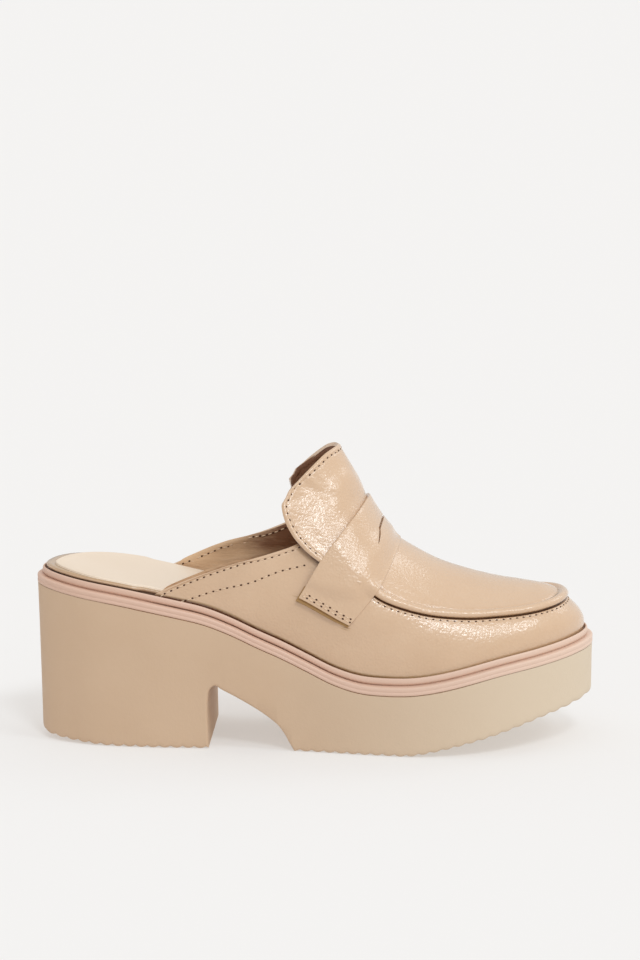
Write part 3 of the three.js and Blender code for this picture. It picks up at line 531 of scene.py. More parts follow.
class Finish:
    """A material under construction, with its nodes laid out from left to right."""

    def __init__(self, name, colour, roughness, coat=0.0, coat_roughness=0.2):
        self.material = bpy.data.materials.new(name)
        self.material.use_nodes = True
        self.tree = self.material.node_tree
        self.shader = self.tree.nodes["Principled BSDF"]
        self.colour = (*colour, 1.0)
        self.shader.inputs["Base Color"].default_value = self.colour
        self.shader.inputs["Roughness"].default_value = roughness
        self.shader.inputs["Coat Weight"].default_value = coat
        self.shader.inputs["Coat Roughness"].default_value = coat_roughness
        self.place = self.node("ShaderNodeTexCoord")
        self.height = None

    def node(self, kind, **settings):
        made = self.tree.nodes.new(kind)
        for key, value in settings.items():
            setattr(made, key, value)
        made.location = (-220 * len(self.tree.nodes), 0)
        return made

    def link(self, source, target):
        self.tree.links.new(source, target)

    def spot(self, scale=(1, 1, 1)):
        """Object coordinates, stretched by a scale."""
        mapping = self.node("ShaderNodeMapping")
        mapping.inputs["Scale"].default_value = scale
        self.link(self.place.outputs["Object"], mapping.inputs["Vector"])
        return mapping.outputs["Vector"]

    def noise(self, size, detail=3.0, rough=0.5, scale=(1, 1, 1)):
        made = self.node("ShaderNodeTexNoise")
        made.inputs["Scale"].default_value = 1 / size
        made.inputs["Detail"].default_value = detail
        made.inputs["Roughness"].default_value = rough
        self.link(self.spot(scale), made.inputs["Vector"])
        return made.outputs["Fac"]

    def cells(self, size):
        made = self.node("ShaderNodeTexVoronoi", feature="SMOOTH_F1")
        made.inputs["Scale"].default_value = 1 / size
        self.link(self.spot(), made.inputs["Vector"])
        return made.outputs["Distance"]

    def spread(self, value, low, high, start=0.0, stop=1.0):
        made = self.node("ShaderNodeMapRange")
        made.clamp = True
        for name, number in (("From Min", start), ("From Max", stop), ("To Min", low), ("To Max", high)):
            made.inputs[name].default_value = number
        self.link(value, made.inputs["Value"])
        return made.outputs["Result"]

    def maths(self, operation, a, b):
        made = self.node("ShaderNodeMath", operation=operation)
        for socket, value in zip(made.inputs, (a, b)):
            if isinstance(value, (int, float)):
                socket.default_value = value
            else:
                self.link(value, socket)
        return made.outputs["Value"]

    def tint(self, amount, other, into=None):
        """Blends the base colour towards another where amount is high."""
        mix = self.node("ShaderNodeMix", data_type="RGBA")
        self.link(amount, mix.inputs["Factor"])
        if into is None:
            mix.inputs["A"].default_value = self.colour
        else:
            self.link(into, mix.inputs["A"])
        mix.inputs["B"].default_value = (*other, 1.0)
        self.link(mix.outputs["Result"], self.shader.inputs["Base Color"])
        return mix.outputs["Result"]

    def shade(self, warm, dark_shade, into):
        """Paints shade into the colour where the piece's painted-shade amount is high, first warm and then
        dark.
        """
        painted_shade_amount = self.node("ShaderNodeAttribute", attribute_name="shade").outputs["Fac"]
        into = self.tint(self.spread(painted_shade_amount, 0.0, 0.8, 0.0, 0.45), warm, into)
        return self.tint(self.spread(painted_shade_amount, 0.0, 1.0, 0.4, 0.95), dark_shade, into)

    def along(self, axis, start, stop):
        """A value that rises from 0 to 1 between two places along an axis of the shoe."""
        parts = self.node("ShaderNodeSeparateXYZ")
        self.link(self.place.outputs["Object"], parts.inputs[0])
        return self.spread(parts.outputs[axis], 0.0, 1.0, start, stop)

    def rough(self, value):
        self.link(value, self.shader.inputs["Roughness"])

    def bump(self, value, depth):
        made = self.node("ShaderNodeBump")
        made.inputs["Distance"].default_value = depth
        self.link(value, made.inputs["Height"])
        if self.height is not None:
            self.link(self.height, made.inputs["Normal"])
        self.height = made.outputs["Normal"]
        self.link(self.height, self.shader.inputs["Normal"])
        self.link(self.height, self.shader.inputs["Coat Normal"])


def ball_mask(finish, centre, radius):
    """1 near a point of the shoe, falling to 0 at a radius."""
    offset = finish.node("ShaderNodeVectorMath", operation="DISTANCE")
    finish.link(finish.place.outputs["Object"], offset.inputs[0])
    offset.inputs[1].default_value = centre
    return finish.spread(offset.outputs["Value"], 1.0, 0.0, radius * 0.3, radius)


# Where the leather's grain is worked up: place in the shoe, radius
CRUMPLED = (
    ((-0.006, -0.028, 0.104), 0.03),
    ((0.008, -0.032, 0.098), 0.028),
    ((0.02, -0.036, 0.088), 0.028),
    ((0.0, -0.012, 0.12), 0.022),
    ((0.052, -0.034, 0.06), 0.024),
    ((0.078, -0.03, 0.06), 0.024),
    ((0.03, -0.03, 0.08), 0.02),
    ((0.0, 0.03, 0.1), 0.034),
    ((0.06, 0.034, 0.06), 0.03),
)
CALM = 0.12  # share of the worked grain on the rest of the leather
# Widths of the leather's patterns
MOTTLE, FLECKS, SWELLS, WRINKLES, PORES = MM * np.array([30, 4, 14, 1.9, 1.1])


def leather(props):
    made = Finish("blush leather", props.leather, 0.34, coat=1.0, coat_roughness=0.2)
    mottle = made.noise(MOTTLE, 4.0)
    fine = made.noise(FLECKS, 3.0)
    colour = made.tint(made.spread(mottle, 0.0, 0.4, 0.35, 0.75), props.leather_shade)
    colour = made.tint(made.spread(fine, 0.0, 0.12, 0.4, 0.7), props.leather_light, colour)
    # Painted shade: the seam's gap, the hem and the ground below the tongue, tab and strap edges
    made.shade(props.cut_edge, props.crease, colour)
    made.rough(made.spread(fine, 0.28, 0.44, 0.3, 0.75))
    worked = CALM
    for centre, radius in CRUMPLED:
        worked = made.maths("MAXIMUM", worked, ball_mask(made, centre, radius))
    made.bump(made.noise(SWELLS, 3.0), props.crumple_depth * 1.4)
    made.bump(made.maths("MULTIPLY", made.noise(WRINKLES, 4.0, 0.6), worked), props.crumple_depth)
    made.bump(made.cells(PORES), props.grain_depth)
    return made.material


FOLD_START, FOLD_END = -0.062, -0.014  # where painted shade darkens the lining deep in the quarter, along the shoe


def lining(props):
    made = Finish("lining", props.lining, 0.55)
    # Painted shade: the lining darker deep inside the quarter and along its folds
    deep = made.along("X", FOLD_START, FOLD_END)
    streaks = made.noise(0.016, 4.0, 0.6, (0.5, 1, 2.6))
    fold_shade = made.spread(streaks, -0.2, 0.7, 0.35, 0.7)
    lining_shade_mask = made.maths("MULTIPLY", made.maths("ADD", deep, fold_shade), deep)
    made.tint(lining_shade_mask, props.lining_painted_shade)
    made.bump(streaks, 0.0009)
    made.bump(made.noise(0.006, 4.0), 0.0003)
    made.bump(made.cells(0.0014), 0.00005)
    return made.material


def cut_edge(props):
    made = Finish("cut leather edge", props.cut_edge, 0.7)
    made.bump(made.noise(0.0012, 4.0), 0.00025)
    return made.material


def footbed(props):
    made = Finish("footbed leather", props.footbed, 0.5)
    mottle = made.noise(0.025, 3.0)
    made.tint(made.spread(mottle, 0.0, 0.3, 0.35, 0.7), props.footbed_shade)
    made.bump(made.cells(0.0009), 0.00004)
    return made.material


PAINTED_LIGHT_FROM, PAINTED_LIGHT_TO = -0.02, 0.13  # places between which painted light makes the rubber paler towards the toe


def rubber(name, colour, shade, light, roughness, depth, crease):
    """Moulded rubber with painted light, darker towards the heel and paler towards the toe, as if lit from
    the front right.
    """
    made = Finish(name, colour, roughness)
    mottle = made.noise(0.045, 3.0)
    tinted = made.tint(made.spread(mottle, 0.0, 0.4, 0.35, 0.7), shade)
    # Painted light: paler towards the toe
    tinted = made.tint(made.along("X", PAINTED_LIGHT_FROM, PAINTED_LIGHT_TO), light, tinted)
    # Painted shade in the welt's crevices, from its shade attribute
    made.shade(shade, crease, tinted)
    made.rough(made.spread(made.noise(0.006, 3.0), roughness - 0.08, roughness + 0.08, 0.3, 0.7))
    made.bump(made.noise(0.0016, 5.0, 0.6), depth)
    made.bump(made.noise(0.02, 2.0), depth * 4)
    return made.material


def twisted(name, colour, other, roughness):
    """Waxed thread, and the holes that it runs through, painted dark for their shade."""
    made = Finish(name, colour, roughness)
    fibres = made.noise(0.0006, 2.0)
    made.tint(made.spread(fibres, 0.0, 0.5, 0.35, 0.7), other)
    made.bump(fibres, 0.00003)
    return made.material


def finishes():
    """The shoe's finishes by name, made once."""
    props = bpy.context.scene.loafer_finish
    makers = {
        "blush leather": lambda: leather(props),
        "lining": lambda: lining(props),
        "cut leather edge": lambda: cut_edge(props),
        "footbed leather": lambda: footbed(props),
        "welt rubber": lambda: rubber(
            "welt rubber", props.welt, props.welt_shade, props.welt_painted_light, 0.45, 0.00004, props.crease
        ),
        "sole rubber": lambda: rubber(
            "sole rubber", props.sole, props.sole_shade, props.sole_painted_light, 0.62, 0.00009, props.crease
        ),
        "thread": lambda: twisted("thread", props.thread, props.leather_shade, 0.55),
        "stitch hole": lambda: twisted("stitch hole", props.hole, props.crease, 0.9),
    }
    return {name: bpy.data.materials.get(name) or make() for name, make in makers.items()}


def colour_property(name, colour):
    return FloatVectorProperty(
        name=name,
        description=f"Colour of the {name.lower()}",
        subtype="COLOR",
        size=3,
        min=0.0,
        max=1.0,
        default=linear(colour)[:3],
    )


def length_property(name, description, default):
    return FloatProperty(name=name, description=description, unit="LENGTH", default=default)


class LoaferFinish(bpy.types.PropertyGroup):
    """Colours and reliefs of the shoe's finishes"""

    leather: colour_property("Leather", (209, 174, 141))
    leather_shade: colour_property("Leather shade", (195, 158, 123))
    leather_light: colour_property("Leather highlight", (216, 186, 155))
    # Painted shade: the dark colour laid in crevices, gaps, stitch holes and below edges
    crease: colour_property("Crease", (100, 58, 30))
    lining: colour_property("Lining", (216, 178, 140))
    # Painted shade deep in the quarter and in the lining's folds
    lining_painted_shade: colour_property("Lining in the fold", (116, 72, 42))
    cut_edge: colour_property("Cut edge", (158, 120, 72))
    footbed: colour_property("Footbed", (232, 212, 191))
    footbed_shade: colour_property("Footbed shade", (225, 202, 178))
    welt: colour_property("Welt", (214, 178, 157))
    welt_shade: colour_property("Welt shade", (206, 168, 147))
    # Painted light: the welt paler at the toe
    welt_painted_light: colour_property("Welt at the toe", (222, 192, 172))
    sole: colour_property("Sole", (203, 173, 144))
    sole_shade: colour_property("Sole shade", (194, 162, 132))
    # Painted light: the sole paler at the toe
    sole_painted_light: colour_property("Sole at the toe", (214, 196, 172))
    thread: colour_property("Thread", (226, 198, 168))
    # Painted shade inside the stitch holes
    hole: colour_property("Stitch hole", (64, 34, 14))
    grain_depth: length_property("Grain depth", "Relief of the leather's pores", 0.00014)
    crumple_depth: length_property("Crumple depth", "Relief of the worked leather", 0.0002)


class LoaferSizes(bpy.types.PropertyGroup):
    """Sizes of the shoe's fine parts"""

    wall: length_property("Wall", "Thickness of the upper", 0.002)
    tongue: length_property("Tongue", "Thickness of the tongue", 0.0018)
    strap: length_property("Strap", "Thickness of the strap", 0.0016)
    pitch: length_property("Stitch pitch", "From stitch to stitch", 0.0032)
    thread: length_property("Thread", "Thickness of the thread", 0.0006)
    scallop: length_property("Scallop", "Depth of the tread's teeth", 0.001)
    sole_steps: IntProperty(name="Sole steps", description="Sections along the sole", default=480)


# Pieces

def stations(inset, count):
    """Points on the outer and inner side of an inset outline, paired from heel to toe."""
    share = 0.5 - 0.5 * np.cos(np.pi * np.arange(count + 1) / count)
    pair = []
    for side in sides_of(inset_outline(inset)):
        x = side[0, 0] + (side[-1, 0] - side[0, 0]) * share
        order = np.maximum.accumulate(side[:, 0])
        pair.append(np.stack([x, np.interp(x, order, side[:, 1])], axis=1))
    return pair


def stacked_mesh(levels, count, across):
    """A closed solid of outlines stacked from the bottom up, with its two caps laid across."""
    rings = []
    for inset, height in levels:
        outer, inner = stations(inset, count)
        rings.append([np.column_stack([p, height(p[:, 0], p[:, 1])]) for p in (outer, inner)])
    columns = []
    bottom_height = levels[0][1]
    for k in range(across):
        flat = rings[0][INNER] + (rings[0][OUTER] - rings[0][INNER]) * k / across
        columns.append(np.column_stack([flat[:, :2], bottom_height(flat[:, 0], flat[:, 1])]))
    columns += [ring[OUTER] for ring in rings]
    top_height = levels[-1][1]
    for k in range(1, across):
        flat = rings[-1][OUTER] + (rings[-1][INNER] - rings[-1][OUTER]) * k / across
        columns.append(np.column_stack([flat[:, :2], top_height(flat[:, 0], flat[:, 1])]))
    columns += [ring[INNER] for ring in reversed(rings)]
    columns = np.array(columns)
    bm, _, _ = grid_mesh(len(columns) - 1, count, lambda i, j: columns[i, j])
    close_up(bm, 2e-6)
    return bm


def closed_tube(bm):
    """Joins a tube's seam and fills its two ends."""
    bmesh.ops.remove_doubles(bm, verts=bm.verts, dist=1e-7)
    bmesh.ops.holes_fill(bm, edges=[e for e in bm.edges if e.is_boundary])
    bmesh.ops.recalc_face_normals(bm, faces=bm.faces)
    return bm


ARCH_FLARE = 0.0014
BEYOND_SIDE = 0.006


def arch_cutter():
    """The notch between heel and platform, flared where it meets the sole's sides."""
    line = rounded(ARCH * (LENGTH, ARCH_HEIGHT), 5)
    line = np.vstack([line, [(ARCH[-1, 0] * LENGTH, -0.01), (ARCH[0, 0] * LENGTH, -0.01)]])
    tangent = np.roll(line, -1, axis=0) - np.roll(line, 1, axis=0)
    tangent /= np.linalg.norm(tangent, axis=1, keepdims=True) + 1e-12
    outward = np.stack([-tangent[:, 1], tangent[:, 0]], axis=1)
    turns = np.linspace(0, math.pi / 2, 7)
    flare = [(ARCH_FLARE * (1 - math.cos(t)), ARCH_FLARE * (1 - math.sin(t))) for t in turns]
    outer, inner = stations(0.0, 400)

    def ring(sides, side, depth, grow, out=0.0):
        spot = line + outward * grow
        draft = sole_draft(spot[:, 0])
        share = np.clip(1 - spot[:, 1] / seat_height(spot[:, 0]), 0, 1)
        wall = np.interp(spot[:, 0], sides[:, 0], sides[:, 1])
        sign = SIDES[side]
        y = wall - sign * (draft * share + depth) + sign * out
        return np.column_stack([spot[:, 0], y, spot[:, 1]])

    loops = np.array([
        ring(outer, OUTER, 0.0, ARCH_FLARE * 1.3, BEYOND_SIDE),
        *(ring(outer, OUTER, depth, grow) for depth, grow in flare),
        *(ring(inner, INNER, depth, grow) for depth, grow in reversed(flare)),
        ring(inner, INNER, 0.0, ARCH_FLARE * 1.3, BEYOND_SIDE),
    ])
    size = len(line)
    bm, _, _ = grid_mesh(size, len(loops) - 1, lambda i, j: loops[j, i % size])
    return closed_tube(bm)


def sole_draft(x):
    heel = HEEL_BACK_DRAFT + (HEEL_DRAFT - HEEL_BACK_DRAFT) * smooth(0, 0.07, x / LENGTH)
    return heel + (TOE_DRAFT - heel) * smooth(0.3, 0.95, x / LENGTH)


# The tread's rounded edge: distance in, rise over the tread, share of the teeth's depth
TREAD_EDGE = ((0.0016, 0.0, 1.0), (0.0007, 0.0002, 1.0), (0.0002, 0.0007, 0.9), (0.0, 0.0016, 0.6))
TREAD_TOP = 0.0035
WELD_EDGE = 0.001
LEAST_INSET = 0.0003
PARTING_DEPTH = 0.00035


class LOAFER_OT_sole(bpy.types.Operator):
    """Moulds the platform and block heel with its scalloped tread"""

    bl_idname = "loafer.sole"
    bl_label = "Sole Unit"

    def execute(self, context):
        sizes = context.scene.loafer_sizes

        def scallop(x):
            phase = (x - FIRST_GROOVE * LENGTH) / GROOVE_PITCH
            ends = smooth(0.005, 0.03, x / LENGTH) * smooth(1.0, 0.985, x / LENGTH)
            return sizes.scallop * (1 - np.abs(np.sin(math.pi * phase)) ** 0.8) * ends

        def above_tread(rise, keep):
            return lambda x, y: tread_height(x) + rise + scallop(x) * keep

        def below_seat(drop):
            return lambda x, y: seat_height(x) - drop

        weld = LOWER_RIB_HEIGHT + UPPER_RIB_HEIGHT + 0.00008

        def parting(x, y):
            waist = smooth(0.1, 0.2, x / LENGTH) * (1 - smooth(0.72, 0.86, x / LENGTH))
            return seat_height(x) - weld - PARTING_DEPTH * waist

        def drafted(more):
            return lambda x: sole_draft(x) + more

        def side(share):
            def height(x, y):
                low = tread_height(x) + TREAD_TOP
                return low + (seat_height(x) - weld - WELD_EDGE - low) * share

            return (lambda x: LEAST_INSET + (sole_draft(x) - LEAST_INSET) * (1 - share)), height

        levels = [(drafted(inset), above_tread(rise, keep)) for inset, rise, keep in TREAD_EDGE]
        levels.append((lambda x: sole_draft(x) * 0.97, above_tread(TREAD_TOP, 0.0)))
        levels += [side(share) for share in (0.25, 0.5, 0.75)]
        levels.append((0.0002, below_seat(weld + 0.0009)))
        levels.append((0.00022, parting))
        levels.append((0.0009, below_seat(weld + 0.0001)))
        levels.append((WELT_WIDTH + CLEARANCE, below_seat(weld)))
        levels.append((WELT_WIDTH + CLEARANCE, below_seat(0.0)))
        bm = stacked_mesh(levels, sizes.sole_steps, 18)
        kit = finishes()
        piece = add_piece("sole_unit_moulding", bm, [kit["sole rubber"]], "sole_unit")
        cut_away(piece, arch_cutter(), 0)
        return {"FINISHED"}


def apply_modifiers(piece):
    """Takes the modifiers' result into the piece's own mesh."""
    bpy.context.view_layer.update()
    depsgraph = bpy.context.evaluated_depsgraph_get()
    finished = bpy.data.meshes.new_from_object(piece.evaluated_get(depsgraph), depsgraph=depsgraph)
    materials = list(piece.data.materials)
    piece.modifiers.clear()
    piece.data = finished
    finished.materials.clear()
    for material in materials:
        finished.materials.append(material)
    for polygon in finished.polygons:
        polygon.use_smooth = True
    finished.set_sharp_from_angle(angle=math.radians(50))


# The welt's section: inset from the outline, height below the seat line
WELT_SECTION = MM * np.array([
    (0.4, -7.7), (0.05, -7.45), (0.0, -6.9), (0.03, -6.35), (0.18, -6.1), (0.26, -5.98), (0.16, -5.82),
    (0.02, -5.4), (0.0, -4.7), (0.1, -4.2), (0.45, -3.85), (1.1, -3.68), (2.2, -3.6), (3.0, -3.56),
    (3.4, -3.4), (3.3, -3.12), (2.75, -2.98), (2.45, -2.6), (2.4, -1.7), (2.46, -0.8), (2.68, -0.25),
    (2.95, -0.05), (3.2, -0.06), (3.38, -0.35), (3.45, -0.9), (3.5, -1.8), (4.4, -1.9), (9.2, -1.9),
    (9.2, -7.7),
])


class LOAFER_OT_welt(bpy.types.Operator):
    """Runs the double-ribbed welt round the shoe"""

    bl_idname = "loafer.welt"
    bl_label = "Welt"

    def execute(self, context):
        section = WELT_SECTION
        loops = np.array([
            np.column_stack([ring, seat_height(ring[:, 0]) + rise])
            for inset, rise in section
            for ring in (inset_outline(inset),)
        ])
        around, size = len(FINE_OUTLINE), len(section)
        bm, i, j = grid_mesh(size, around, lambda i, j: loops[i % size, j % around])
        # Painted shade in the welt's hidden crevices, weaker where the gaps round the welt close
        crevice_shade_depth = np.maximum(section[:, 0] - 0.0031, -0.00315 - section[:, 1]) * (section[:, 0] > 0.0026)
        dark_shade = gap_painted_shade(loops[0, :, 0])
        add_painted_shade(bm, np.clip(crevice_shade_depth / 0.0004, 0, 1)[i % size] * dark_shade[j % around])
        close_up(bm)
        kit = finishes()
        add_piece("welt_ribs", bm, [kit["welt rubber"]], "welt")
        return {"FINISHED"}


# The footbed's edge: distance in, share of the ledge at the heel, height over the seat
FOOTBED_EDGE = np.array([
    (0.0, 0, 0.0), (0.0, 0, 0.0008), (0.00015, 0, 0.0012), (0.0005, 0, 0.00145), (0.0009, 1, 0.0015),
    (0.00105, 1, 0.00135), (0.0011, 1, 0.0018), (0.0012, 1, 0.0021), (0.0015, 1, 0.0023),
    (0.0021, 1, 0.0024),
])
SOCK_FOOT = 0.00135  # height over the seat at which the sock lies on the wrapped board


class LOAFER_OT_footbed(bpy.types.Operator):
    """Lays the footbed on the seat: a wrapped board with a pale sock on it"""

    bl_idname = "loafer.footbed"
    bl_label = "Footbed"

    def execute(self, context):
        inside_wall = FEATHER_INSET + context.scene.loafer_sizes.wall + CLEARANCE
        thick = FOOTBED_EDGE[-1, 2]

        def inset(x, more, ledge):
            blend = smooth(COLLAR[1, 0] - 0.022, COLLAR[1, 0] - 0.004, x / LENGTH)
            back = HEEL_LEDGE * (1 - smooth(0, LEDGE_END, x / LENGTH))
            return FEATHER_INSET + (inside_wall - FEATHER_INSET) * blend + ledge * back + more

        def crown(x, y):
            middle = 1 - np.clip(np.abs(y) / (0.36 * BALL_WIDTH), 0, 1) ** 2
            return seat_height(x) + CLEARANCE + thick - 0.0006 * middle

        levels = [
            (lambda x, m=more, s=share: inset(x, m, s), lambda x, y, r=rise: seat_height(x) + CLEARANCE + r)
            for more, share, rise in FOOTBED_EDGE
        ]
        levels.append((lambda x: inset(x, 0.0034, 1), crown))
        bm = stacked_mesh(levels, 160, 26)
        # Painted shade in the crevice at the sock's foot
        rises = [v.co.z - seat_height(v.co.x + MIDDLE.x) - CLEARANCE for v in bm.verts]
        add_painted_shade(bm, [0.4 * math.exp(-(((rise - SOCK_FOOT) / 0.0003) ** 2)) for rise in rises])
        for face in bm.faces:
            heights = [v.co.z - seat_height(v.co.x + MIDDLE.x) - CLEARANCE for v in face.verts]
            face.material_index = int(max(heights) < SOCK_FOOT + 0.0002)
        kit = finishes()
        skins = [kit["footbed leather"], kit["blush leather"]]
        add_piece("footbed", bm, skins, "insole")
        return {"FINISHED"}


# Creases placed one by one: side, along, up, half length, half width, depth, turn in degrees
CREASES = np.array([
    (OUTER, 0.478, 0.79, 0.012, 0.0016, 0.00035, -35),
    (OUTER, 0.492, 0.8, 0.010, 0.0015, 0.0003, -30),
    (OUTER, 0.504, 0.83, 0.009, 0.0014, 0.0003, -40),
    (OUTER, 0.515, 0.78, 0.008, 0.0016, 0.00025, -20),
    (OUTER, 0.668, 0.385, 0.012, 0.0014, 0.0003, -28),
    (OUTER, 0.69, 0.352, 0.010, 0.0014, 0.00025, -24),
    (OUTER, 0.62, 0.2, 0.02, 0.006, 0.0005, 15),
    (OUTER, 0.42, 0.25, 0.02, 0.005, 0.0004, 40),
    (OUTER, 0.36, 0.14, 0.018, 0.005, 0.0003, 30),
    (INNER, 0.48, 0.78, 0.012, 0.0018, 0.00035, -35),
    (INNER, 0.5, 0.8, 0.010, 0.0016, 0.0003, -30),
    (INNER, 0.66, 0.38, 0.014, 0.0016, 0.0003, -28),
    (INNER, 0.6, 0.18, 0.022, 0.006, 0.0005, 18),
    (INNER, 0.4, 0.2, 0.022, 0.006, 0.0005, 40),
])


def creased(side, spots):
    """How far each spot sinks in the creases of its side."""
    sink = np.zeros(spots.shape[:-1])
    for row in CREASES[CREASES[:, 0] == side]:
        _, along, up, length, width, depth, turn = row
        x = along * LENGTH
        dx, dz = spots[..., 0] - x, spots[..., 2] - (seat_height(x) + up * UPPER_HEIGHT)
        angle = math.radians(turn)
        down = dx * math.cos(angle) + dz * math.sin(angle)
        off = -dx * math.sin(angle) + dz * math.cos(angle)
        sink += depth * np.exp(-((down / length) ** 4) - (off / width) ** 2)
        sink -= 0.5 * depth * np.exp(-((down / length) ** 4) - ((off - 1.8 * width) / width) ** 2)
    return sink


# The rolled apron seam: distance in from the apron's edge, height over the last
SEAM_PROFILE = MM * np.array([
    (-3.9, 0.0), (-2.9, 0.0), (-2.4, -0.1), (-2.1, 0.0), (-1.75, 0.0), (-1.5, -0.06), (-1.28, -0.3),
    (-1.05, -0.75), (-0.7, -1.1), (-0.25, -1.15), (0.05, -0.85), (0.0, -0.4), (-0.3, 0.0), (-0.58, 0.45),
    (-0.72, 0.95), (-0.68, 1.5), (-0.42, 2.1), (0.05, 2.6), (0.65, 2.9), (1.3, 2.95), (1.95, 2.75),
    (2.5, 2.35), (2.95, 1.8), (3.25, 1.3), (3.5, 1.02), (3.8, 1.0), (4.15, 1.22), (4.8, 1.45), (5.7, 1.52),
    (7.0, 1.5),
])
CREVICE_DEPTH = 0.0011  # where the painted shade in the seam's gap is darkest
TOE_GROOVE = [tuple(row) for row in SEAM_PROFILE[-6:-4]]  # shaded inside the roll at the toe
WALL_ROWS = 34
APRON_ROWS = 26
HEM_DROP = 0.0012
POLE_REACH, POLE_ROUNDS = 0.0042, 90
LONG_STEPS, EDGE_STEPS = 168, 16  # along each side of the upper, and in the band at its collar
CUT_FROM, EDGE_BAND = 4.0, 0.42  # first rib that the collar can cut, width of the band in ribs
COLLAR_SEAM, TONGUE_SEAM = 0.0021, 0.0027  # sewn trough from the edge
COLLAR_ROW = 0.0022  # stitches from the collar's edge
UNDER_TONGUE, UNDER_TAB, UNDER_EDGE = 0.0012, 0.0008, 0.0007  # widths of the painted shadow below an edge
SEAM_START, APRON_START = (7.25, 7.75), (7.3, 7.9)


def upper_rows():
    """Rows of the upper from its hem to the ridge: place, reach, height, drop below the seat."""
    rows = [(0.0, None, 0.0, HEM_DROP)]
    rows += [(k / WALL_ROWS, None, 0.0, 0.0) for k in range(WALL_ROWS)]
    rows += [(None, reach, height, 0.0) for reach, height in SEAM_PROFILE]
    rows += [(1 + (k + 1) / APRON_ROWS, None, APRON_STEP, 0.0) for k in range(APRON_ROWS)]
    return rows


def upper_row(side, rib, row):
    """Place and height of a row of the upper on each rib."""
    place, reach, height, _ = row
    apron_share = 1 - smooth(*APRON_START, rib)
    seam_share = 1 - smooth(*SEAM_START, rib)
    if reach is None and place < 1:
        return place * LAST.place_of(side, rib, np.full(rib.shape, SEAM_PROFILE[0, 0])), np.zeros(rib.shape)
    if reach is None:
        start = LAST.place_of(side, rib, np.full(rib.shape, SEAM_PROFILE[-1, 0]))
        return start + (2 - start) * (place - 1), APRON_STEP * apron_share
    flat_reach = np.linspace(SEAM_PROFILE[0, 0], SEAM_PROFILE[-1, 0], len(SEAM_PROFILE))
    index = int(np.argmin(np.abs(SEAM_PROFILE - (reach, height)).sum(axis=1)))
    level = np.interp(flat_reach[index], (-0.0002, 0.0012), (0.0, APRON_STEP))
    used = flat_reach[index] + (reach - flat_reach[index]) * seam_share
    return LAST.place_of(side, rib, used), apron_share * (level + (height - level) * seam_share)


def gap_painted_shade(x):
    """Painted shade in the narrow gaps round the welt: open below the quarters, closed at the toe."""
    along = np.asarray(x) / LENGTH
    return (0.5 + 0.5 * smooth(0.18, 0.25, along)) * (1 - 0.8 * smooth(0.42, 0.8, along))


def beside(line, spots, width):
    """How close each point lies to a line of the side view, from 1 on it to 0 away from it."""
    gap = np.linalg.norm(spots[..., None, [0, 2]] - line, axis=-1).min(axis=-1)
    return np.exp(-((gap / width) ** 2))


def edge_relief(distance, seam, roll=0.00022, sunk=0.0003):
    """Height of a stitched edge: a puffed band along the edge and a trough where it is sewn."""
    band = roll * np.exp(-(((distance - seam * 0.5) / (seam * 0.38)) ** 2))
    turned = -0.0004 * np.exp(-((distance / 0.0005) ** 2))
    return band + turned - sunk * np.exp(-(((distance - seam) / 0.0005) ** 2))


def end_distance(spots):
    """Distance of each point of a row from the row's end."""
    steps = np.linalg.norm(np.diff(spots, axis=-2), axis=-1)
    left = np.cumsum(steps[..., ::-1], axis=-1)[..., ::-1]
    return np.concatenate([left, np.zeros(left.shape[:-1] + (1,))], axis=-1)


def face_outwards(bm, near, outward):
    """Gives all faces one side, so that the one nearest a point looks outwards."""
    bmesh.ops.recalc_face_normals(bm, faces=bm.faces)
    nearest = min(bm.faces, key=lambda f: (f.calc_center_median() - near).length)
    if nearest.normal.dot(outward) < 0:
        bmesh.ops.reverse_faces(bm, faces=bm.faces)


def side_columns(half, sign):
    """Columns of a table from its middle one to the last one of a side."""
    return half + int(sign) * np.arange(half + 1)


# Outer faces and edge lines of the pieces made so far, for the stitches and the slot
SURFACES = {}
EDGES = {}


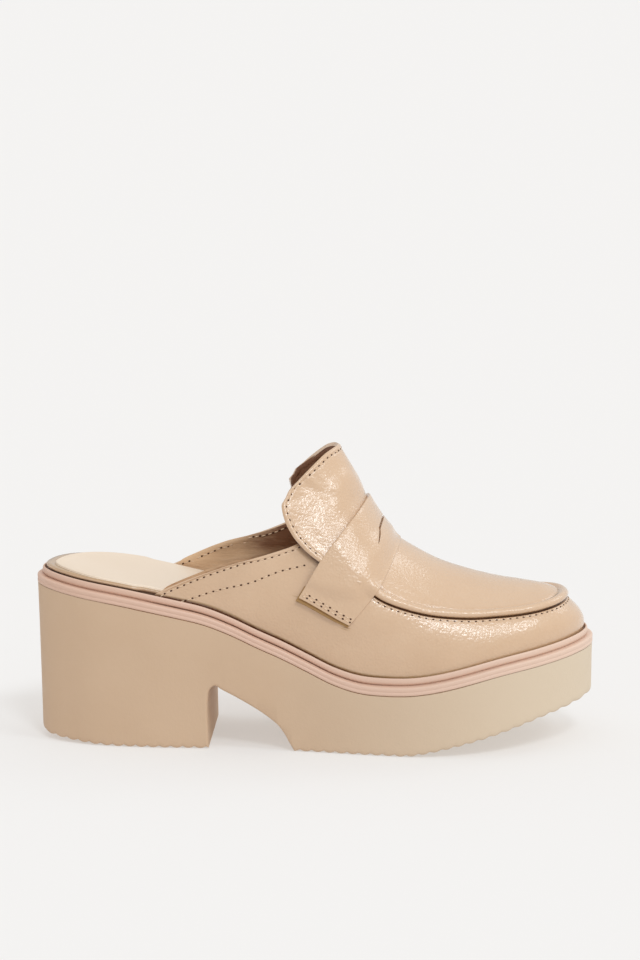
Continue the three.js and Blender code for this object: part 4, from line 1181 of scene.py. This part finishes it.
class LOAFER_OT_upper(bpy.types.Operator):
    """Lasts the backless upper with its apron and rolled seam"""

    bl_idname = "loafer.upper"
    bl_label = "Upper"

    def execute(self, context):
        sizes = context.scene.loafer_sizes
        rows = upper_rows()
        half = LONG_STEPS + EDGE_STEPS
        ahead = [(0.9 * LENGTH, 0.3), (1.3 * LENGTH, 0.3), (1.3 * LENGTH, -0.1), (0.1 * LENGTH, -0.1)]
        table = np.empty((len(rows), 2 * half + 1, 3))
        shade = np.zeros(table.shape[:2])
        # Side-view lines below which painted shadow is laid: the tongue's edge, the strap's rear edge and
        # the tabs' ends
        tongue_line = side_view(TONGUE_EDGE[8:], 12)
        strap_line = side_view(STRAP_REAR[1:3], 40, curved=False)
        tab_ends = np.array([STRAP_REAR[1] + (0.005, -0.022), STRAP_FRONT[1] - (0.008, 0.022)])
        tab_line = side_view(tab_ends, 40, curved=False)
        probe = np.linspace(0, LAST_RIB, 281)
        order = np.arange(len(rows))
        for side, sign in SIDES.items():
            places = np.array([upper_row(side, probe, row)[0] for row in rows])

            def walk(share):
                rib = CUT_FROM + (LAST_RIB - CUT_FROM) * share + np.zeros(len(rows))
                cell = np.clip(rib / probe[1], 0, len(probe) - 1.001)
                low, part = cell.astype(int), cell % 1
                return rib, places[order, low] * (1 - part) + places[order, low + 1] * part

            region = np.vstack([side_view(COLLAR if side == OUTER else COLLAR_INNER), ahead])
            far = CUT_FROM + (LAST_RIB - CUT_FROM) * last_inside(side, walk, region)
            for k, row in enumerate(rows):
                near_end = far[k] - EDGE_BAND
                rib = np.concatenate([
                    near_end * np.arange(LONG_STEPS) / LONG_STEPS,
                    near_end + EDGE_BAND * np.arange(EDGE_STEPS + 1) / EDGE_STEPS,
                ])
                place, lift = upper_row(side, rib, row)
                spots = LAST.at(side, rib, place, lift)
                relief = edge_relief(end_distance(spots), COLLAR_SEAM) * smooth(0.02, 0.1, place)
                spots = LAST.at(side, rib, place, lift - creased(side, spots) + relief)
                spots[:, 2] -= row[3]
                cells = side_columns(half, sign)
                table[k, cells] = spots
                # Painted shade deep in the seam's gap, painted shadow below the tongue, tab and strap
                # edges, painted shade in the toe's groove
                sunk = np.clip(-lift / CREVICE_DEPTH, 0, 1) ** 1.1
                covered = np.maximum(
                    beside(tongue_line, spots, UNDER_TONGUE), beside(tab_line, spots, UNDER_TAB)
                )
                covered = np.maximum(covered, 0.8 * beside(strap_line, spots, UNDER_EDGE))
                if (row[1], row[2]) in TOE_GROOVE:
                    covered = 0.5 * (1 - smooth(1.5, 4.0, rib))
                    place = np.zeros(place.shape)
                shade[k, cells] = np.maximum(sunk, covered * (place < 1))
        # Painted shade at the hem, in the gap above the welt
        shade[:2] = gap_painted_shade(table[0, :, 0])
        bm, i, j = grid_mesh(2 * half, len(rows) - 1, lambda i, j: table[j, i])
        add_painted_shade(bm, shade[j, i])
        bmesh.ops.remove_doubles(bm, verts=bm.verts, dist=2e-6)
        self.relax_pole(bm, Vector(table[-1, half]) - MIDDLE)
        face_outwards(bm, Vector((0.06, -0.03, 0.05)), Vector((0, -1, 0)))
        kit = finishes()
        SURFACES["upper"] = BVHTree.FromBMesh(bm)
        EDGES["collar outer"] = table[:, 0] - np.array(MIDDLE)
        EDGES["collar inner"] = table[:, 2 * half] - np.array(MIDDLE)
        skins = [kit["blush leather"], kit["lining"]]
        piece = add_piece("upper_leather", bm, skins, "upper")
        add_wall(piece, sizes.wall, edge=0)
        return {"FINISHED"}

    def relax_pole(self, bm, pole):
        """Evens out the apron where its rows meet at the toe end of the ridge."""
        near = [v for v in bm.verts if (v.co.xy - pole.xy).length < POLE_REACH]
        for _ in range(POLE_ROUNDS):
            bmesh.ops.smooth_vert(
                bm, verts=near, factor=0.5, use_axis_x=True, use_axis_y=True, use_axis_z=True
            )


TONGUE_CENTRE = 8.0  # rib whose point of the ridge the tongue's grid fans out from


class LOAFER_OT_tongue(bpy.types.Operator):
    """Stands the tongue up behind the strap"""

    bl_idname = "loafer.tongue"
    bl_label = "Tongue"

    def execute(self, context):
        sizes = context.scene.loafer_sizes
        region = np.vstack([side_view(TONGUE_EDGE), [(0.72 * LENGTH, 0.06), (0.72 * LENGTH, 0.16)]])
        half, main, fine, band = 118, 34, 14, 0.0055
        table = np.empty((2 * half + 1, main + fine + 1, 3))
        rib_reach, place_reach = LAST_BRIDGE - 0.02 - TONGUE_CENTRE, 1.6
        for side, sign in SIDES.items():
            turn = np.linspace(0, math.radians(98), half + 1)
            far_rib, far_place = np.cos(turn), 0.42 * np.sin(turn)
            limit = np.minimum(
                rib_reach / np.maximum(far_rib, 0.01), place_reach / np.maximum(far_place, 0.01)
            )

            def walk(share):
                return TONGUE_CENTRE + far_rib * limit * share, 2 - far_place * limit * share

            ends = last_inside(side, walk, region)
            length = np.linalg.norm(LAST.at(side, *walk(ends)) - LAST.at(side, *walk(0.0)), axis=-1)
            share = np.concatenate([
                np.linspace(0, 1, main, endpoint=False)[None, :] * (1 - band / length)[:, None],
                1 - (band / length)[:, None] * np.linspace(1, 0, fine + 1)[None, :],
            ], axis=1)
            rib = TONGUE_CENTRE + (far_rib * limit * ends)[:, None] * share
            place = 2 - (far_place * limit * ends)[:, None] * share
            top = CLEARANCE + sizes.tongue
            spots = LAST.at(side, rib, place, top)
            distance = end_distance(spots)
            low = smooth(0.2, 0.9, turn)[:, None]
            flare = 0.0016 * np.exp(-((distance / 0.006) ** 2)) * low
            ruffle = 0.0
            if side == INNER:
                ruffle = 0.0002 * np.sin(turn * 9)[:, None] * np.exp(-distance / 0.004) * low
            relief = edge_relief(distance, TONGUE_SEAM, 0.0003, 0.00035) - creased(side, spots)
            relief += flare + ruffle
            spots = LAST.at(side, rib, place, top + relief)
            table[side_columns(half, sign)] = spots
        bm, i, j = grid_mesh(2 * half, main + fine, lambda i, j: table[i, j])
        # Painted shadow on the tongue just behind the strap's rear edge
        strap_line = side_view(STRAP_REAR[1:], 60, curved=False)
        add_painted_shade(bm, 0.8 * beside(strap_line, table, UNDER_EDGE)[i, j])
        bmesh.ops.remove_doubles(bm, verts=bm.verts, dist=2e-6)
        face_outwards(bm, Vector((0.01, -0.03, 0.1)), Vector((0.2, -1, 0.3)))
        kit = finishes()
        SURFACES["tongue"] = BVHTree.FromBMesh(bm)
        EDGES["tongue"] = table[:, -1] - np.array(MIDDLE)
        skins = [kit["blush leather"], kit["lining"]]
        piece = add_piece("tongue_leather", bm, skins, "tongue")
        add_wall(piece, sizes.tongue, edge=0)
        return {"FINISHED"}


# Height of the apron and its rolled seam as the strap feels them: distance in, height
UNDER_STRAP = MM * np.array([(-3.2, 0.0), (-0.9, 1.5), (0.7, 2.95), (1.8, 2.95), (5.0, 1.8), (8.0, 1.5)])


ON_APRON_GAP = 0.0002


class StrapSurface:
    """The strap's outer face over the tongue: rows from the ridge to the tab's end."""

    WIDE = 36
    LONG = 92

    def __init__(self, thickness):
        rear, front = side_view(STRAP_REAR, curved=False), side_view(STRAP_FRONT, curved=False)
        deep, high = -0.1, 0.3
        past_toe, past_heel = 1.2 * LENGTH, -0.1
        self.behind = np.vstack([
            rear, [(0.9 * LENGTH, high), (past_toe, high), (past_toe, deep), (0.4 * LENGTH, deep)]
        ])
        self.ahead = np.vstack([
            front, [(0.7 * LENGTH, high), (past_heel, high), (past_heel, deep), (0.5 * LENGTH, deep)]
        ])
        self.thickness = thickness
        self.ends = {side: [corner_on(side, line[1])[1] for line in (rear, front)] for side in SIDES}

    def at(self, side, down, across, more_down=0.0, raised=None, beyond=0.0):
        """Points at shares down from the ridge and across from the rear edge to the front one."""
        low = self.ends[side][0] + (self.ends[side][1] - self.ends[side][0]) * across[None, :]
        place = 2 - (2 - low) * down[:, None] - more_down

        def backwards(share):
            return 6.0 + 4.98 * share, place

        def forwards(share):
            return 10.98 - 5.48 * share, place

        to_rear = backwards(last_inside(side, backwards, self.behind))[0] + beyond
        to_front = forwards(last_inside(side, forwards, self.ahead))[0]
        rib = to_rear + (to_front - to_rear) * across[None, :]
        reach = LAST.reach_of(side, rib, place)
        low_edge = -0.017 * smooth(7, 9.2, rib)
        on_tongue = CLEARANCE + STRAP_RISE * smooth(low_edge - 0.009, low_edge - 0.001, reach)
        on_apron = np.interp(reach, UNDER_STRAP[:, 0], UNDER_STRAP[:, 1]) * (1 - smooth(7.2, 7.9, rib))
        on_apron += ON_APRON_GAP
        near_front = smooth(0.62, 1.0, across)[None, :]
        under = np.maximum(on_tongue * (1 - near_front) + on_apron * near_front, on_apron)
        if raised is not None:
            return LAST.at(side, rib, place, under + raised)
        thick = self.thickness * self.taper(across)[None, :]
        tab = 0.0006 * smooth(0.9, 1.0, down)[:, None]
        edges = -0.0002 * np.exp(-((across / 0.03) ** 2))[None, :]
        return LAST.at(side, rib, place, under + thick + tab + edges)

    def taper(self, across):
        return 1 - 0.72 * smooth(0.72, 1.0, across)


# The slot seen from the side: distance ahead of SLOT_ALONG, drop below the ridge
SLOT_PATH = MM * np.array([(3.0, 0.0), (2.4, 1.2), (2.0, 2.4), (2.3, 3.8), (2.2, 5.6), (1.9, 7.6)])


SLOT_WIDTH, SLOT_SWELL = 0.0011, 0.0014  # at its ends, and more over the ridge
BLADE_UP, BLADE_DOWN = 0.002, 0.0034


def slot_blade(tree):
    """A thin blade through the strap along its slot, widest over the ridge."""
    top = Vector((SLOT_ALONG * LENGTH, 0.003, 0.3)) - MIDDLE + Vector((SLOT_PATH[0, 0], 0, 0))
    top, top_normal, _, _ = tree.ray_cast(top, Vector((0, 0, -1)))
    path = []
    for side, sign in reversed(SIDES.items()):
        part = []
        for drop in np.linspace(0.0007, SLOT_PATH[-1, 1], 13):
            x = np.interp(drop, SLOT_PATH[:, 1], SLOT_PATH[:, 0]) + SLOT_ALONG * LENGTH - MIDDLE.x
            origin = Vector((x, sign * 0.2, top.z - drop))
            place, normal, _, _ = tree.ray_cast(origin, Vector((0, -sign, 0)))
            if place is not None:
                part.append((place, normal))
        path += part[::-1] if side == INNER else [(top, top_normal), *part]
    spots = np.array([place[:] for place, _ in path])
    normals = np.array([normal[:] for _, normal in path])
    ways = np.gradient(spots, axis=0)
    cross = np.cross(normals, ways)
    cross /= np.linalg.norm(cross, axis=1, keepdims=True)
    walked = np.concatenate([[0], np.cumsum(np.linalg.norm(np.diff(spots, axis=0), axis=1))])
    from_middle = np.abs(walked - walked[-1] / 2)
    width = SLOT_WIDTH + SLOT_SWELL * np.exp(-((from_middle / 0.002) ** 2))
    width *= np.sqrt(np.clip(1.02 - (from_middle / from_middle.max()) ** 4, 0, 1))
    corners = [(-0.5, BLADE_UP), (0.5, BLADE_UP), (0.5, -BLADE_DOWN), (-0.5, -BLADE_DOWN)]
    loops = np.array([spots + cross * (width * a)[:, None] + normals * b for a, b in corners])
    count = len(spots) - 1
    bm, _, _ = grid_mesh(4, count, lambda i, j: loops[i % 4, j] + np.array(MIDDLE))
    return closed_tube(bm)


class LOAFER_OT_strap(bpy.types.Operator):
    """Lays the slotted saddle strap over the tongue"""

    bl_idname = "loafer.strap"
    bl_label = "Saddle Strap"

    def execute(self, context):
        sizes = context.scene.loafer_sizes
        surface = StrapSurface(sizes.strap)
        wide, half = surface.WIDE, surface.LONG
        across = np.linspace(0, 1, wide + 1)
        down = np.linspace(0, 1, half + 1)
        table = np.empty((2 * half + 1, wide + 1, 3))
        for side, sign in SIDES.items():
            table[side_columns(half, sign)] = surface.at(side, down, across)
        bm, _, j = grid_mesh(2 * half, wide, lambda i, j: table[i, j])
        face_outwards(bm, Vector((0.015, -0.035, 0.085)), Vector((0.2, -1, 0.3)))
        kit = finishes()
        tree = SURFACES["strap"] = BVHTree.FromBMesh(bm)
        EDGES["strap outer"] = table[0] - np.array(MIDDLE)
        EDGES["strap inner"] = table[2 * half] - np.array(MIDDLE)
        skins = [kit["blush leather"], kit["lining"], kit["cut leather edge"]]
        piece = add_piece("saddle_strap_leather", bm, skins, "saddle_strap")
        group = piece.vertex_groups.new(name="thickness")
        for index, column in enumerate(j):
            group.add([index], float(surface.taper(across[column])), "REPLACE")
        add_wall(piece, sizes.strap, edge=2, rounding=0.0003, group=group.name)
        cut_away(piece, slot_blade(tree), 2)
        self.lay_tab_edges(surface, kit)
        return {"FINISHED"}

    def lay_tab_edges(self, surface, kit):
        """The raw leather that shows below each tab."""
        across = np.linspace(0, 1, surface.WIDE + 1)
        rows = np.linspace(0.93, 1.0, 9)
        thin = surface.taper(across)
        for side, name in ((OUTER, "outer"), (INNER, "inner")):
            below = np.linspace(0, 1, len(rows))
            table = np.empty((len(rows), surface.WIDE + 1, 3))
            for k, row in enumerate(rows):
                raised = (0.0007 + 0.0011 * smooth(0.75, 1.0, below[k])) * thin[None, :]
                spot = surface.at(side, np.array([row]), across, 0.035 * below[k] ** 2, raised, 0.03)
                table[k] = spot[0]
            bm, _, _ = grid_mesh(len(rows) - 1, surface.WIDE, lambda i, j: table[i, j])
            sign = SIDES[side]
            face_outwards(bm, Vector((-0.003, sign * 0.045, 0.06)), Vector((0, sign, 0)))
            skins = [kit["cut leather edge"], kit["cut leather edge"]]
            piece = add_piece(f"tab_edge_{name}", bm, skins)
            add_wall(piece, 0.0008, edge=0, rounding=0.0002)


def cut_away(piece, tool, material):
    """Cuts a solid out of a piece and keeps the result in the piece's own mesh."""
    for face in tool.faces:
        face.material_index = material
    mesh = bpy.data.meshes.new("cutter")
    tool.to_mesh(mesh)
    tool.free()
    for skin in piece.data.materials:
        mesh.materials.append(skin)
    cutter = bpy.data.objects.new("cutter", mesh)
    bpy.context.scene.collection.objects.link(cutter)
    cut = piece.modifiers.new("cut", "BOOLEAN")
    cut.operation = "DIFFERENCE"
    cut.solver = "EXACT"
    cut.object = cutter
    apply_modifiers(piece)
    bpy.data.objects.remove(cutter)


def corner_on(side, spot):
    """Rib number and place of the point of the side wall that lies at a spot of the side view."""
    table = LAST.points[side][:, : LAST.SAMPLES + 1]
    distance = (table[..., 0] - spot[0]) ** 2 + (table[..., 2] - spot[1]) ** 2
    i, j = np.unravel_index(np.argmin(distance), distance.shape)
    return LAST.ribs[i], j / LAST.SAMPLES


def even_path(path, pitch, margin):
    """Points at even steps along a path, with their directions."""
    walked = np.concatenate([[0], np.cumsum(np.linalg.norm(np.diff(path, axis=0), axis=1))])
    count = max(int((walked[-1] - 2 * margin) / pitch), 1)
    wanted = margin + (walked[-1] - 2 * margin) * np.arange(count + 1) / count

    def read(at):
        return np.stack([np.interp(at, walked, path[:, k]) for k in range(3)], axis=1)

    return read(wanted), read(wanted + pitch / 4) - read(wanted - pitch / 4)


def sew(bm, surface, path, pitch, thread, margin, depth):
    """Sews one row of stitches along a path on a surface: the thread, and a disc of painted shade for the
    hole at its end.
    """
    tree = SURFACES[surface]
    strap = np.vstack([side_view(STRAP_REAR, curved=False), side_view(STRAP_FRONT, curved=False)[::-1]])
    spots, ways = even_path(np.asarray(path), pitch, margin)
    covered = inside(strap, spots[:, [0, 2]] + (MIDDLE.x, MIDDLE.z)) & (surface == "tongue")
    for spot, way in zip(spots[~covered], ways[~covered]):
        place, normal, _, _ = tree.find_nearest(Vector(spot))
        if place is None:
            raise RuntimeError(f"no surface under a stitch of {surface}")
        if depth:
            place = place - normal * depth
            normal = -normal
        way = Vector(way)
        way = (way - normal * way.dot(normal)).normalized()
        turned = Matrix((way, normal.cross(way), normal)).transposed().to_4x4()
        for index, (centre, size) in enumerate((
            (place + normal * thread * 0.1, (pitch * 0.32, thread * 0.5, thread * 0.4)),
            (place + way * pitch * 0.5 + normal * 0.00004, (thread * 0.95, thread * 0.72, thread * 0.16)),
        )):
            matrix = Matrix.Translation(centre) @ turned @ Matrix.Diagonal((*size, 1))
            made = bmesh.ops.create_uvsphere(bm, u_segments=8, v_segments=5, radius=1, matrix=matrix)
            for face in {f for v in made["verts"] for f in v.link_faces}:
                face.material_index = index


def shifted(path, surface, distance, towards):
    """A path moved over a surface, away from an edge and towards a direction."""
    path = np.asarray(path)
    tree = SURFACES[surface]
    moved = []
    steps = 4
    for spot, way in zip(path, np.gradient(path, axis=0)):
        place = Vector(spot)
        for _ in range(steps):
            _, normal, _, _ = tree.find_nearest(place)
            inward = normal.cross(Vector(way)).normalized()
            if inward.dot(Vector(towards)) < 0:
                inward = -inward
            place, _, _, _ = tree.find_nearest(place + inward * distance / steps)
        moved.append(place[:])
    return np.array(moved)


def on_last(side, ribs, reach):
    """A line on the last at a distance from the apron's edge."""
    return LAST.at(side, ribs, LAST.place_of(side, ribs, np.full(ribs.shape, reach))) - np.array(MIDDLE)


# The quarter's lower row seen from the side: along, share of UPPER_HEIGHT above the seat line
SECOND_ROW = np.array([
    (0.262, -0.01), (0.288, 0.028), (0.33, 0.101), (0.385, 0.2055), (0.436, 0.32), (0.484, 0.415),
])
APRON_ROW = -0.0024  # from the apron's edge, down the side wall
TAB_ROWS = (0.0016, 0.0031)  # from the tab's end


class LOAFER_OT_stitches(bpy.types.Operator):
    """Sews the rows on the quarters, apron, tongue and strap tabs"""

    bl_idname = "loafer.stitches"
    bl_label = "Stitches"

    def execute(self, context):
        sizes = context.scene.loafer_sizes
        kit = finishes()
        rows = {"apron": [], "tongue": [], "strap": [], "quarters": []}
        ribs = np.linspace(7.15, 0, 120)
        for side, name in ((OUTER, "outer"), (INNER, "inner")):
            rows["apron"].append(("upper", on_last(side, ribs, APRON_ROW), 0.001, 0.0))
            collar = EDGES[f"collar {name}"][: WALL_ROWS - 1]
            hem = shifted(collar, "upper", COLLAR_ROW, (1.0, 0.0, -0.6))
            rows["quarters"].append(("upper", hem, 0.002, 0.0))
            if side == INNER:
                rows["quarters"].append(("upper", hem, 0.002, sizes.wall))
            rows["quarters"].append(("upper", second_row(side), 0.001, 0.0))
            for distance in TAB_ROWS:
                tab = shifted(EDGES[f"strap {name}"], "strap", distance, (0.3, 0.0, 1.0))
                rows["strap"].append(("strap", tab, 0.0014 + distance * 0.3, 0.0))
        edge = shifted(EDGES["tongue"], "tongue", TONGUE_SEAM, (1.0, 0.0, -0.35))
        rows["tongue"].append(("tongue", edge, 0.004, 0.0))
        for group, paths in rows.items():
            bm = bmesh.new()
            for surface, path, margin, depth in paths:
                sew(bm, surface, path, sizes.pitch, sizes.thread, margin, depth)
            add_piece(f"stitches_{group}", bm, [kit["thread"], kit["stitch hole"]])
        return {"FINISHED"}


def second_row(side):
    """The quarter's lower row of stitches, from the welt up to the tongue."""
    view = side_view(SECOND_ROW, 12)
    tree = SURFACES["upper"]
    sign = SIDES[side]
    out = []
    for x, z in view:
        origin = Vector((x, sign * 0.2, z)) - MIDDLE
        place, _, _, _ = tree.ray_cast(origin, Vector((0, -sign, 0)))
        if place is not None:
            out.append(place[:])
    return np.array(out)


# Stage

VIEW_AZIMUTH = 3.0
VIEW_ELEVATION = 13.0
VIEW_DISTANCE = 2.0
FOCAL_PIXELS = 4336.0
SENSOR = 36.0
PICTURE = (640, 960)
SEEN_AT = (316.0, 606.0)  # pixel of the photograph where the point below is seen
SEEN_POINT = Vector((0.0, 0.0, 0.06))


def direction(azimuth, height):
    """The way from the shoe to a compass direction right of its outer side, and up from there."""
    turn, up = math.radians(azimuth), math.radians(height)
    return Vector((math.sin(turn) * math.cos(up), -math.cos(turn) * math.cos(up), math.sin(up)))


def place_camera():
    away = direction(VIEW_AZIMUTH, VIEW_ELEVATION)
    right = (-away).cross(Vector((0, 0, 1))).normalized()
    upward = right.cross(-away)
    pitch = math.atan((SEEN_AT[1] - PICTURE[1] / 2) / FOCAL_PIXELS)
    forward = -away * math.cos(pitch) + upward * math.sin(pitch)
    upward = upward * math.cos(pitch) + away * math.sin(pitch)
    yaw = math.atan((SEEN_AT[0] - PICTURE[0] / 2) / FOCAL_PIXELS)
    look = forward * math.cos(yaw) - right * math.sin(yaw)
    right = right * math.cos(yaw) + forward * math.sin(yaw)
    data = bpy.data.cameras.new("camera")
    data.sensor_width = SENSOR
    data.lens = FOCAL_PIXELS / PICTURE[1] * SENSOR
    data.clip_end = 60.0
    camera = bpy.data.objects.new("camera", data)
    camera.matrix_world = Matrix.Translation(SEEN_POINT + away * VIEW_DISTANCE) @ Matrix(
        (right, upward, -look)
    ).transposed().to_4x4()
    bpy.context.scene.collection.objects.link(camera)
    bpy.context.scene.camera = camera


# Sun lamps: name, compass direction and height that the light comes from, strength, softness
LAMPS = (
    ("front", 21.0, 48.0, 0.86, 12.0),
    ("top", 62.0, 46.0, 0.46, 13.0),
    ("fill", -6.0, 16.0, 0.22, 60.0),
    ("left", -112.0, 24.0, 0.24, 40.0),
    ("back", 128.0, 38.0, 0.16, 18.0),
)
LAMP_COLOUR = (0.84, 0.94, 1.0)
STUDIO_COLOUR = (1.0, 0.988, 0.968, 1.0)
STUDIO_LEVELS = (0.3, 0.92)  # light from the darkest and the brightest way
BRIGHT_SIDE = (0.62, 0.22, 0.75)  # the way to the brightest part of the studio
FLOOR_COLOUR = (0.428, 0.416, 0.418)
FLOOR_GLOW = (0.44, 0.43, 0.412, 1.0)
FLOOR_HALF = 60


def glowing_floor():
    """A pale floor lit partly from within, so that its shadows stay light."""
    made = Finish("pale floor", FLOOR_COLOUR, 0.9)
    made.shader.inputs["Specular IOR Level"].default_value = 0.0
    made.shader.inputs["Emission Color"].default_value = FLOOR_GLOW
    made.shader.inputs["Emission Strength"].default_value = 1.0
    return made.material


def sun(name, azimuth, height, strength, softness):
    """A lamp whose light comes from an angle right of the camera's side of the shoe."""
    towards = direction(azimuth, height)
    data = bpy.data.lights.new(name, "SUN")
    data.energy = strength
    data.angle = math.radians(softness)
    data.color = LAMP_COLOUR
    light = bpy.data.objects.new(name, data)
    light.rotation_euler = (-towards).to_track_quat("-Z", "Y").to_euler()
    bpy.context.scene.collection.objects.link(light)


class LOAFER_OT_stage(bpy.types.Operator):
    """Sets the camera, the pale floor and the soft studio light"""

    bl_idname = "loafer.stage"
    bl_label = "Stage"

    def execute(self, context):
        place_camera()
        bm = bmesh.new()
        bmesh.ops.create_grid(bm, x_segments=1, y_segments=1, size=FLOOR_HALF)
        mesh = bpy.data.meshes.new("floor")
        bm.to_mesh(mesh)
        bm.free()
        mesh.materials.append(glowing_floor())
        floor = bpy.data.objects.new("floor", mesh)
        context.scene.collection.objects.link(floor)
        floor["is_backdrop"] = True
        self.light_studio(context)
        context.scene.view_settings.view_transform = "Standard"
        for lamp in LAMPS:
            sun(*lamp)
        return {"FINISHED"}

    def light_studio(self, context):
        """Soft light all round, brighter from one side."""
        world = bpy.data.worlds.new("studio")
        world.use_nodes = True
        tree = world.node_tree
        background = tree.nodes["Background"]
        background.inputs["Color"].default_value = STUDIO_COLOUR
        place = tree.nodes.new("ShaderNodeTexCoord")
        facing = tree.nodes.new("ShaderNodeVectorMath")
        facing.operation = "DOT_PRODUCT"
        facing.inputs[1].default_value = BRIGHT_SIDE
        level = tree.nodes.new("ShaderNodeMapRange")
        for name, number in zip(("From Min", "From Max", "To Min", "To Max"), (-1.0, 1.0, *STUDIO_LEVELS)):
            level.inputs[name].default_value = number
        tree.links.new(place.outputs["Generated"], facing.inputs[0])
        tree.links.new(facing.outputs["Value"], level.inputs["Value"])
        tree.links.new(level.outputs["Result"], background.inputs["Strength"])
        context.scene.world = world


class LOAFER_PT_panel(bpy.types.Panel):
    """Lists the loafer's pieces"""

    bl_label = "Penny Loafer Mule"
    bl_idname = "LOAFER_PT_panel"
    bl_space_type = "VIEW_3D"
    bl_region_type = "UI"
    bl_category = "Loafer"

    def draw(self, context):
        for group in (context.scene.loafer_sizes, context.scene.loafer_finish):
            column = self.layout.column(align=True)
            for name in group.__annotations__:
                column.prop(group, name)
        for operator in OPERATORS:
            self.layout.operator(operator.bl_idname)


OPERATORS = (
    LOAFER_OT_stage,
    LOAFER_OT_sole,
    LOAFER_OT_welt,
    LOAFER_OT_footbed,
    LOAFER_OT_upper,
    LOAFER_OT_tongue,
    LOAFER_OT_strap,
    LOAFER_OT_stitches,
)
CLASSES = (LoaferFinish, LoaferSizes, *OPERATORS, LOAFER_PT_panel)


def register():
    for cls in CLASSES:
        bpy.utils.register_class(cls)
    bpy.types.Scene.loafer_finish = PointerProperty(type=LoaferFinish)
    bpy.types.Scene.loafer_sizes = PointerProperty(type=LoaferSizes)


def unregister():
    del bpy.types.Scene.loafer_sizes
    del bpy.types.Scene.loafer_finish
    for cls in reversed(CLASSES):
        bpy.utils.unregister_class(cls)


def main():
    register()
    bpy.ops.loafer.stage()
    bpy.ops.loafer.sole()
    bpy.ops.loafer.welt()
    bpy.ops.loafer.footbed()
    bpy.ops.loafer.upper()
    bpy.ops.loafer.tongue()
    bpy.ops.loafer.strap()
    bpy.ops.loafer.stitches()
    bpy.context.view_layer.update()
    boxes = {"cad": CAD_BOX, "visual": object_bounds()}
    {name: [list(map(float, corner)) for corner in box] for name, box in boxes.items()}


if __name__ == "__main__":
    main()
